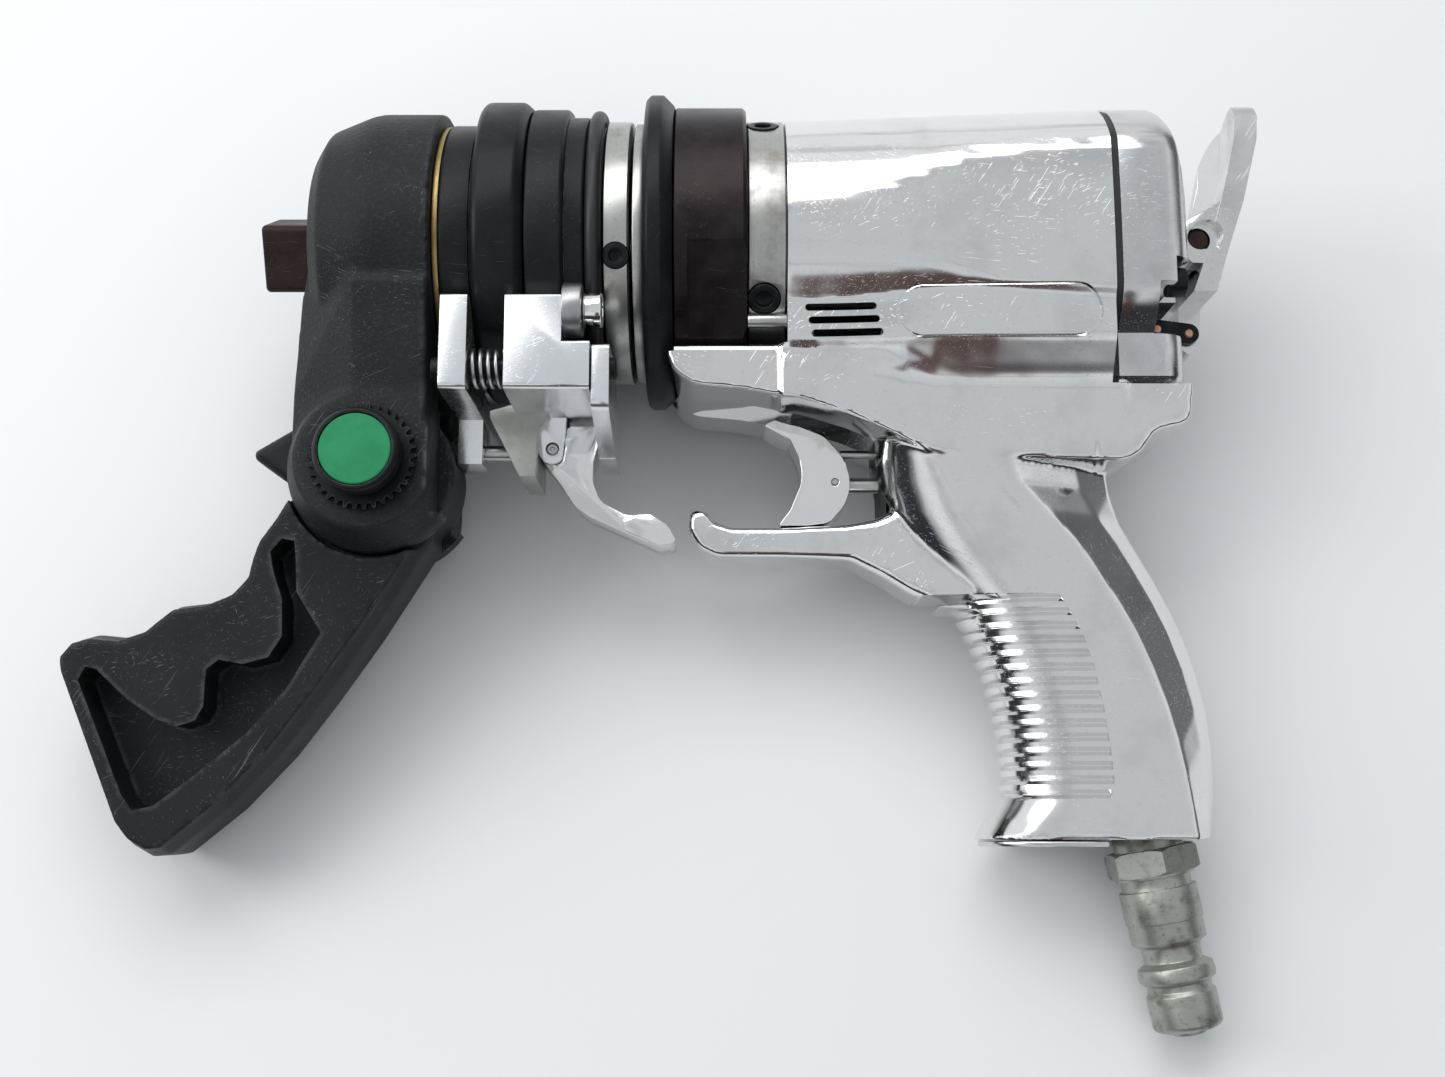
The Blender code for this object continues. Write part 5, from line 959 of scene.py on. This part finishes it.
def toothed_ring():
    teeth, tip, root = 34, 14.4, 13.0
    corners = []
    for tooth in range(teeth):
        middle = math.tau * tooth / teeth
        for share, radius in ((-0.30, root), (-0.14, tip), (0.14, tip), (0.30, root)):
            angle = middle + share * math.tau / teeth
            corners.append((PIVOT[0] + radius * math.cos(angle), PIVOT[1] + radius * math.sin(angle)))
    base = slab(corners, 30.3, 32.2)
    lift = turned([(30.2, 0.0), (30.2, 10.0), (35.2, 10.0), (35.2, 0.0)], "Z", (*PIVOT, 0.0), 48)
    base = carve(base, lift, how="UNION")
    base = carve(base, rod(PIVOT, 6.0, 0.0, 50.0, "Z", 0))
    soften(base, 0.2, 1, 30.0)
    place("toothed_index_ring", base, BLACK_STEEL, "gearbox", ["index_ring"])


def index_button():
    knob = turned([(37.3, 0.0), (37.3, 10.3), (34.3, 10.3), (34.3, 11.2), (39.9, 11.2), (40.7, 10.5),
                   (40.7, 9.7), (39.7, 9.6), (39.7, 0.0)], "Z", (*PIVOT, 0.0), 80, rim=0.2)
    place("index_button_rim", knob, BLACK_STEEL, "index_button", ["index_button"])
    disc = turned([(39.9, 0.0), (39.9, 9.45), (40.4, 9.4), (40.6, 9.1), (40.6, 0.0)], "Z", (*PIVOT, 0.0), 80)
    place("green_button_disc", disc, GREEN, "index_button", ["button_disc"])


SQUARE = 19.05


def square_drive():
    half = SQUARE / 2
    square = [(u * half, v * half, 1.8) for u, v in ((-1, -1), (1, -1), (1, 1), (-1, 1))]
    bm = slab(square, 0.0, 21.0, "X")
    bmesh.ops.rotate(bm, cent=(0, 0, 0), matrix=Matrix.Rotation(math.radians(27.0), 3, "X"), verts=bm.verts)
    front = [edge for edge in bm.edges if all(vert.co.x < 0.01 for vert in edge.verts)]
    bmesh.ops.bevel(bm, geom=front, offset=1.2, offset_type="OFFSET", segments=3, profile=0.5, affect="EDGES",
                    clamp_overlap=True, material=-1)
    shaft = turned([(19.0, 0.0), (19.0, 14.4), (19.6, 15.0), (83.4, 15.0), (83.4, 21.0), (88.9, 21.0),
                    (88.9, 0.0)], steps=64)
    shape = carve(bm, shaft, how="UNION")
    for index in range(3):
        angle = math.tau * index / 3
        shape = carve(shape, rod((15 * math.cos(angle), 15 * math.sin(angle)), 3.0, 86.9, 102.5, rim=0),
                      how="UNION")
    place("square_drive_spindle", tidy_edges(shape, 0.2), DRIVE_BROWN, "spindle",
          ["output_spindle"])


# ================================================================ side handle
HANDLE_FRONT = [(11.6, -74.0), (8.0, -80.0), (3.6, -86.4), (1.9, -92.0), (1.2, -96.2), (-2.4, -100.2),
                (-9.0, -102.9), (-17.4, -103.9), (-21.0, -106.6), (-25.0, -110.2), (-31.6, -112.4),
                (-39.0, -111.6), (-44.6, -113.2), (-48.3, -118.0), (-47.9, -122.4)]
HANDLE_FOOT = [(-30.6, -162.8), (-26.5, -167.8), (-20.8, -171.0), (-16.0, -170.4)]
HANDLE_BACK = [(-1.4, -158.4), (12.0, -144.0), (23.0, -129.0), (35.0, -111.4), (42.0, -100.0),
               (50.5, -86.0), (50.0, -70.0)]
POCKET = [(15.0, -87.0), (11.6, -86.4), (8.6, -90.0), (9.6, -95.0), (12.4, -103.0), (12.8, -113.0),
          (9.4, -118.6), (2.6, -120.4), (-3.8, -119.2), (-7.0, -121.8), (-7.2, -131.6), (-9.0, -135.4),
          (-14.0, -137.0), (-19.6, -135.0), (-27.8, -129.6), (-36.2, -121.8), (-39.2, -121.0),
          (-41.0, -124.6), (-27.6, -154.6), (-24.4, -158.9), (-19.0, -157.8), (-8.0, -149.4), (4.6, -138.8),
          (14.6, -127.0), (23.2, -112.0), (20.4, -107.6), (16.2, -101.0), (15.6, -92.0)]


def pulled_in(outline, depth):
    """The outline moved inwards, by a depth worked out from each point's place."""
    moved = []
    area = sum(Vector(outline[i - 1]).cross(Vector(outline[i])) for i in range(len(outline)))
    side = math.copysign(1.0, area)
    for index, point in enumerate(outline):
        here = Vector(point)
        into = (here - Vector(outline[index - 1])).normalized()
        out = (Vector(outline[(index + 1) % len(outline)]) - here).normalized()
        normal = Vector((-(into + out).y, (into + out).x)).normalized() * side
        moved.append(tuple(here + normal * depth(here)))
    return moved


def side_handle():
    outline = HANDLE_FRONT + HANDLE_FOOT + HANDLE_BACK
    heel, spine = Vector((-48.0, -172.0)), Vector((1.0, 0.86))

    def fall(depth):
        """The rear edge falls away nearly in full, the finger edge hardly."""
        return lambda point: depth * (0.95 if (point - heel).cross(spine) > 31 else 0.22)

    steps = [(17.0, 9.0), (14.0, 7.0), (8.5, 0.0)]
    levels = [(-z, pulled_in(outline, fall(depth))) for z, depth in steps]
    levels += [(z, pulled_in(outline, fall(depth))) for z, depth in reversed(steps)]
    handle = loft(levels, "Z")
    tongue = rod(PIVOT, 21.0, -11.3, 11.3, "Z", 0, 64)
    tang = slab([(-2.1, -60.4), (12.0, -51.8), (24.0, -56.0), (24.0, -70.0), (8.4, -67.9)], -6.5, 6.5)
    soften(tang, 1.8, 1, 60)
    cuts = []
    for mirror in (-1, 1):
        low, high = sorted((mirror * 11.3, mirror * 60.0))
        cuts.append(rod(PIVOT, 24.4, low, high, "Z", 0, 96))
    handle = carve(handle, *cuts)
    handle = cast(join(handle, tongue, tang), 0.7, 5)
    cuts = []
    for mirror in (-1, 1):
        shape = slab(POCKET, 5.0, 40.0)
        if mirror < 0:
            bmesh.ops.scale(shape, verts=shape.verts, vec=(1, 1, -1))
            bmesh.ops.recalc_face_normals(shape, faces=shape.faces)
        cuts.append(shape)
        low, high = sorted((mirror * 11.3, mirror * 60.0))
        cuts.append(rod(PIVOT, 24.2, low, high, "Z", 0, 96))
    cuts.append(rod(PIVOT, PIVOT_HOLE, -30.0, 30.0, "Z", 0, 48))
    handle = carve(handle, *cuts)
    place("side_handle_grip", handle, HANDLE_FINISH, "side_handle", ["side_handle"], 42.0)


# ================================================================ latch
def saddle(top, far_top, floor, corner, low, high):
    clear = 43.4
    near_z, far_z = 41.0, -36.5
    brink, far_brink = (math.sqrt(clear ** 2 - level ** 2) for level in (top, far_top))
    start, end = math.atan2(brink, top), math.tau - math.atan2(far_brink, far_top)
    points = [(top, near_z, 0.8), (top, brink)] + arc_points((0, 0), clear, start, end, 40)[1:-1]
    points += [(far_top, -far_brink), (far_top, far_z, 0.8), (floor, far_z, corner), (floor, near_z, corner)]
    return slab(points, low, high, "X")


def latch_parts():
    def rod_hole(low, high):
        return rod(LATCH_ROD, 3.3, low, high, rim=0)

    def pin_hole(low, high):
        return rod(LOCK_PIN, 2.55, low, high, rim=0)

    plate = saddle(-25.3, -34.0, -50.9, 1.6, 56.7, 63.8)
    plate = carve(plate, brick((56.9, -63.5, -7.0), (63.7, -46.0, 7.0)), how="UNION")
    plate = carve(plate, rod_hole(50, 70), pin_hole(50, 70))
    place("latch_front_plate", tidy_edges(plate, 0.6), LATCH_POLISH, "latch",
          ["latch_plate"])

    block = saddle(-25.3, -34.0, -50.9, 1.6, 73.7, 88.6)
    lower = saddle(-38.0, -38.0, -50.9, 1.6, 87.2, 96.0)
    block = carve(block, lower, how="UNION")
    leg = slab([(73.9, -47.9), (66.5, -50.1), (66.5, -51.9), (75.0, -68.5), (79.4, -68.5), (79.6, -56.0, 4.0),
                (84.0, -49.0)], -12.0, 14.0)
    leg = carve(leg, pin_hole(60, 84))
    place("catch_block_leg", tidy_edges(leg, 0.6), BLASTED, "gearbox")
    ear = [(79.0, -47.9), (79.0, -60.0), (81.5, -64.0, 2.0), (86.0, -63.0, 2.0), (87.6, -47.9)]
    block = carve(block, slab(ear, 6.4, 9.4), slab(ear, -9.4, -6.4), how="UNION")
    block = carve(block, rod_hole(70, 100), pin_hole(60, 84), rod(LATCH_ROD, 5.85, 70.0, 76.5, rim=0),
                  rod(FINGER_PIVOT, 1.9, -20.0, 20.0, "Z", 0))
    place("catch_block_body", tidy_edges(block, 0.5), LATCH_POLISH, "gearbox",
          ["catch_block"])

    outline = [(-42.6, 8.0), (-38.3, 20.0), (-38.3, 39.5, 1.5), (-55.5, 39.5, 3.0), (-62.5, 8.0)]
    yoke = slab(outline, 96.5, 101.1, "X")
    yoke = carve(yoke, brick((96.6, -62.5, -12.0), (101.0, -44.5, 9.0)), how="UNION")
    yoke = carve(yoke, rod_hole(90, 110))
    place("latch_rear_yoke", tidy_edges(yoke, 0.6), LATCH_POLISH, "latch",
          ["latch_yoke"])
    place("latch_spring_rod", rod(LATCH_ROD, 3.0, 53.7, 102.6, rim=0.4), BLACK_STEEL, "latch",
          ["latch_rod"])
    place("lock_pin_rod", rod(LOCK_PIN, 2.25, 56.0, 76.5, rim=0.5), PIN_STEEL, "latch",
          ["lock_pin"])
    spring = coil(64.1, 73.4, 4.9, 0.55, LATCH_ROD, 4)
    place("latch_spring_coil", spring, PIN_STEEL, "latch", ["latch_spring"], 80.0)

    roller = turned([(88.6, 2.4), (88.6, 7.2), (93.8, 7.2), (93.8, 2.4)], centre=(0, *ROLLER), steps=64,
                    rim=0.5)
    place("catch_roller_wheel", roller, ROLLER_STEEL, "gearbox", ["catch_roller"])
    screw = turned([(94.1, 0.0), (94.1, 4.6), (98.7, 4.6), (99.1, 4.2), (99.1, 2.4), (97.0, 2.3),
                    (96.6, 0.0)], centre=(0, *ROLLER), steps=48, rim=0.3)
    place("roller_socket_screw", screw, CHROME, "gearbox", ["roller_screw"])


def coil(front, rear, radius, wire, centre, turns):
    """Round wire wound along X."""
    bm = bmesh.new()
    made = bmesh.ops.create_circle(bm, cap_ends=True, segments=10, radius=wire)
    turn = Matrix.Translation((front + wire, radius, 0.0))
    bmesh.ops.transform(bm, matrix=turn, verts=made["verts"])
    steps = 30 * turns
    rise = (rear - front - 2 * wire) / steps
    bmesh.ops.spin(bm, geom=bm.verts[:] + bm.edges[:] + bm.faces[:], cent=(0, 0, 0), axis=(1, 0, 0),
                   dvec=(rise, 0, 0), angle=math.tau * turns, steps=steps)
    bmesh.ops.recalc_face_normals(bm, faces=bm.faces)
    bmesh.ops.translate(bm, verts=bm.verts, vec=(0, centre[0], centre[1]))
    return bm


def finger_lever():
    outline = [(88.3, -52.6, 1.0), (96.0, -52.6, 1.0), (96.0, -57.0), (94.6, -62.6), (94.5, -68.5, 4.0),
               (96.6, -74.0, 5.0), (103.4, -77.7), (106.2, -78.1), (110.6, -78.1), (115.6, -81.0, 3.0),
               (118.4, -86.0, 1.5), (113.5, -86.9), (102.4, -82.2), (94.1, -78.5), (89.9, -75.6, 5.0),
               (86.0, -69.5), (82.6, -65.2), (80.2, -61.6, 2.5), (80.4, -57.0, 3.0)]
    lever = slab(outline, -6.0, 6.0)
    pad = slab([(103.4, -79.6), (107.4, -78.4), (110.8, -78.3), (115.4, -81.1, 3.0), (118.2, -86.1, 1.2),
                (113.4, -86.8), (104.0, -82.6)], -9.0, 9.0)
    lever = carve(lever, pad, how="UNION")
    flutes = [rod((111.6 + index * 1.5, -77.6 - index * 1.25), 0.55, -20.0, 20.0, "Z", 0, 12)
              for index in range(5)]
    lever = carve(lever, rod(FINGER_PIVOT, 1.9, -20.0, 20.0, "Z", 0), join(*flutes))
    place("finger_lever_blade", tidy_edges(lever, 0.5), CHROME, "finger_lever",
          ["finger_lever"])
    pin = turned([(-9.2, 0.0), (-9.2, 1.3), (-8.9, 1.6), (8.9, 1.6), (9.2, 1.3), (9.2, 0.7), (8.8, 0.5),
                  (8.8, 0.0)], "Z", (*FINGER_PIVOT, 0.0), 32)
    place("finger_lever_pin", pin, PIN_STEEL, "gearbox", ["finger_pin"])


# ================================================================ trigger
def trigger():
    outline = [(141.8, -52.8, 0.8), (145.4, -51.3, 0.8), (152.5, -53.2), (159.4, -56.0, 6.0),
               (164.9, -62.6, 8.0), (166.5, -70.0, 8.0), (164.7, -75.6, 8.0), (160.3, -80.6, 4.0),
               (154.4, -81.3), (146.1, -81.3, 0.5), (149.5, -76.8), (152.9, -68.5, 9.0),
               (152.3, -62.6, 9.0), (149.6, -56.9)]
    blade = slab(outline, -8.6, 8.6)
    blade = carve(blade, rod(TRIGGER_PIN, 1.0, 7.6, 12.0, "Z", 0))
    place("trigger_blade", tidy_edges(blade, 1.0, 4), CHROME, "trigger", ["trigger"])
    ring_pin = turned([(7.0, 0.0), (7.0, 0.75), (8.7, 0.75), (8.7, 0.0)], "Z", (*TRIGGER_PIN, 0.0), 20)
    place("trigger_pin_end", ring_pin, PIN_STEEL, "trigger")
    place("trigger_guide_pin", rod(GUIDE_PIN, 1.25, 164.0, 189.0, rim=0.3), PIN_STEEL, "trigger",
          ["guide_pin"])
    place("throttle_push_rod", rod(THROTTLE_ROD, 2.2, 165.0, 203.0, rim=0.3), PIN_STEEL, "trigger",
          ["throttle_rod"])


# ================================================================ pieces kept from the frame
def finish_inner_nodes():
    finishes = {
        "motor_cylinder": INNER_STEEL, "front_bearing": INNER_STEEL, "rear_bearing": INNER_STEEL,
        "front_end_plate": CAP_POLISH, "rear_end_plate": CAP_POLISH, "ring_gear": INNER_STEEL,
        "nose_bush": WASHER_BRASS, "rotor": INNER_STEEL, "planet_gear_1": INNER_STEEL,
        "planet_gear_2": INNER_STEEL, "planet_gear_3": INNER_STEEL, "rotor_vane_1": RUBBER,
        "rotor_vane_2": RUBBER, "rotor_vane_3": RUBBER, "rotor_vane_4": RUBBER}
    for name, material in finishes.items():
        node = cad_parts[name]
        node.data.materials.clear()
        node.data.materials.append(material)


# ================================================================ studio
BENCH_HALF = 2.2
CEILING, CEILING_MIDDLE, CEILING_PANELS = (0.90, 0.92, 0.94), (0.61, 0.635, 0.66), (0.40, 0.42, 0.45)
DARK_ROOM, DARK_CLOTHES, BACKDROP = (0.030, 0.033, 0.040), (0.075, 0.036, 0.030), (0.80, 0.82, 0.84)
ROOM_STRENGTH = 0.95


def bench():
    bm = bmesh.new()
    bmesh.ops.create_grid(bm, x_segments=1, y_segments=1, size=BENCH_HALF)
    bmesh.ops.translate(bm, verts=bm.verts, vec=(0.13, 0.0, -FLANGE_R * MM))
    mesh = bpy.data.meshes.new("bench_top")
    bm.to_mesh(mesh)
    bm.free()
    floor = bpy.data.objects.new("bench_top", mesh)
    bpy.context.scene.collection.objects.link(floor)
    paper = bpy.data.materials.new("bench_paper")
    paper.use_nodes = True
    shader = paper.node_tree.nodes["Principled BSDF"]
    shader.inputs["Base Color"].default_value = (0.86, 0.875, 0.885, 1.0)
    shader.inputs["Roughness"].default_value = 0.70
    mesh.materials.append(paper)


def surroundings():
    """Room that lights the tool and shows in its polished sides."""
    world = bpy.data.worlds.new("studio")
    bpy.context.scene.world = world
    world.use_nodes = True
    nodes = Nodes(world.node_tree)
    back = world.node_tree.nodes["Background"]
    ray = nodes.add("ShaderNodeTexCoord").outputs["Generated"]
    parts = nodes.add("ShaderNodeSeparateXYZ", None, Vector=ray)
    east, north, height = parts.outputs["X"], parts.outputs["Y"], parts.outputs["Z"]
    wobble = nodes.maths("SUBTRACT", nodes.noise(ray, 2.0, 3.0), 0.5)
    lifted = nodes.maths("ADD", height, nodes.maths("MULTIPLY", wobble, 0.30))
    # the ceiling is pale towards the walls and greyer overhead, with darker panels
    ceiling = nodes.blend(nodes.spread(lifted, 0.45, 0.95), CEILING, CEILING_MIDDLE)
    panels = nodes.spread(nodes.noise(ray, 4.2, 2.0), 0.50, 0.64, 0.0, 0.55)
    ceiling = nodes.blend(panels, ceiling, CEILING_PANELS)
    # the room is dark low down, in front of the tool and to its right
    low = nodes.spread(lifted, 0.60, 0.34)
    south = nodes.spread(nodes.maths("ADD", north, nodes.maths("MULTIPLY", wobble, 0.3)), 0.30, -0.12)
    right = nodes.spread(east, 0.25, 0.75)
    side = nodes.maths("MAXIMUM", south, nodes.maths("MULTIPLY", right, 0.85))
    room = nodes.blend(nodes.maths("MULTIPLY", low, side), ceiling, DARK_ROOM)
    # a dark brown patch stands for someone leaning over from the front
    across = nodes.maths("DIVIDE", nodes.maths("SUBTRACT", east, 0.075), 0.12)
    along = nodes.maths("DIVIDE", nodes.maths("ADD", north, 0.80), 0.20)
    reach = nodes.maths("ADD", nodes.maths("MULTIPLY", across, across), nodes.maths("MULTIPLY", along, along))
    person = nodes.spread(nodes.maths("ADD", reach, nodes.maths("MULTIPLY", wobble, 1.2)), 1.1, 0.45)
    room = nodes.blend(nodes.maths("MULTIPLY", person, 0.95), room, DARK_CLOTHES)
    # seen directly, the room is a plain pale backdrop
    seen = nodes.add("ShaderNodeLightPath").outputs["Is Camera Ray"]
    nodes.tree.links.new(nodes.blend(seen, room, BACKDROP), back.inputs["Color"])
    back.inputs["Strength"].default_value = ROOM_STRENGTH


def softbox(name, place_at, aim, size, power):
    light = bpy.data.lights.new(name, "AREA")
    light.shape = "RECTANGLE"
    light.size, light.size_y = size
    light.energy = power
    lamp = bpy.data.objects.new(name, light)
    lamp.location = place_at
    lamp.rotation_euler = (Vector(aim) - Vector(place_at)).to_track_quat("-Z", "Y").to_euler()
    bpy.context.scene.collection.objects.link(lamp)


def camera_above():
    """Camera nearly straight above the tool, its focal length 1600 to a frame 1445 wide."""
    bpy.context.scene.view_settings.view_transform = "Standard"
    lens = bpy.data.cameras.new("camera")
    lens.sensor_width = 36.0
    lens.lens = 1600.0 * 36.0 / 1445.0
    camera = bpy.data.objects.new("camera", lens)
    camera.location = (0.13078, -0.2310, 0.41125)
    camera.rotation_euler = (math.radians(10.0) + ROLL, 0.0, 0.0)
    bpy.context.scene.collection.objects.link(camera)
    bpy.context.scene.camera = camera


bench()
surroundings()
softbox("overhead_softbox", (-0.10, 0.62, 0.98), (0.12, -0.02, 0.0), (1.2, 0.7), 6.5)
softbox("left_softbox", (-0.95, 0.05, 0.75), (0.1, -0.05, 0.0), (0.5, 0.8), 4.5)
camera_above()
motor_housing()
rear_cap()
reverse_lever()
spool_link()
air_inlet()
rings()
reaction_arm()
toothed_ring()
index_button()
square_drive()
side_handle()
latch_parts()
finger_lever()
trigger()
finish_inner_nodes()


def plain(box):
    return [[float(value) for value in corner] for corner in box]
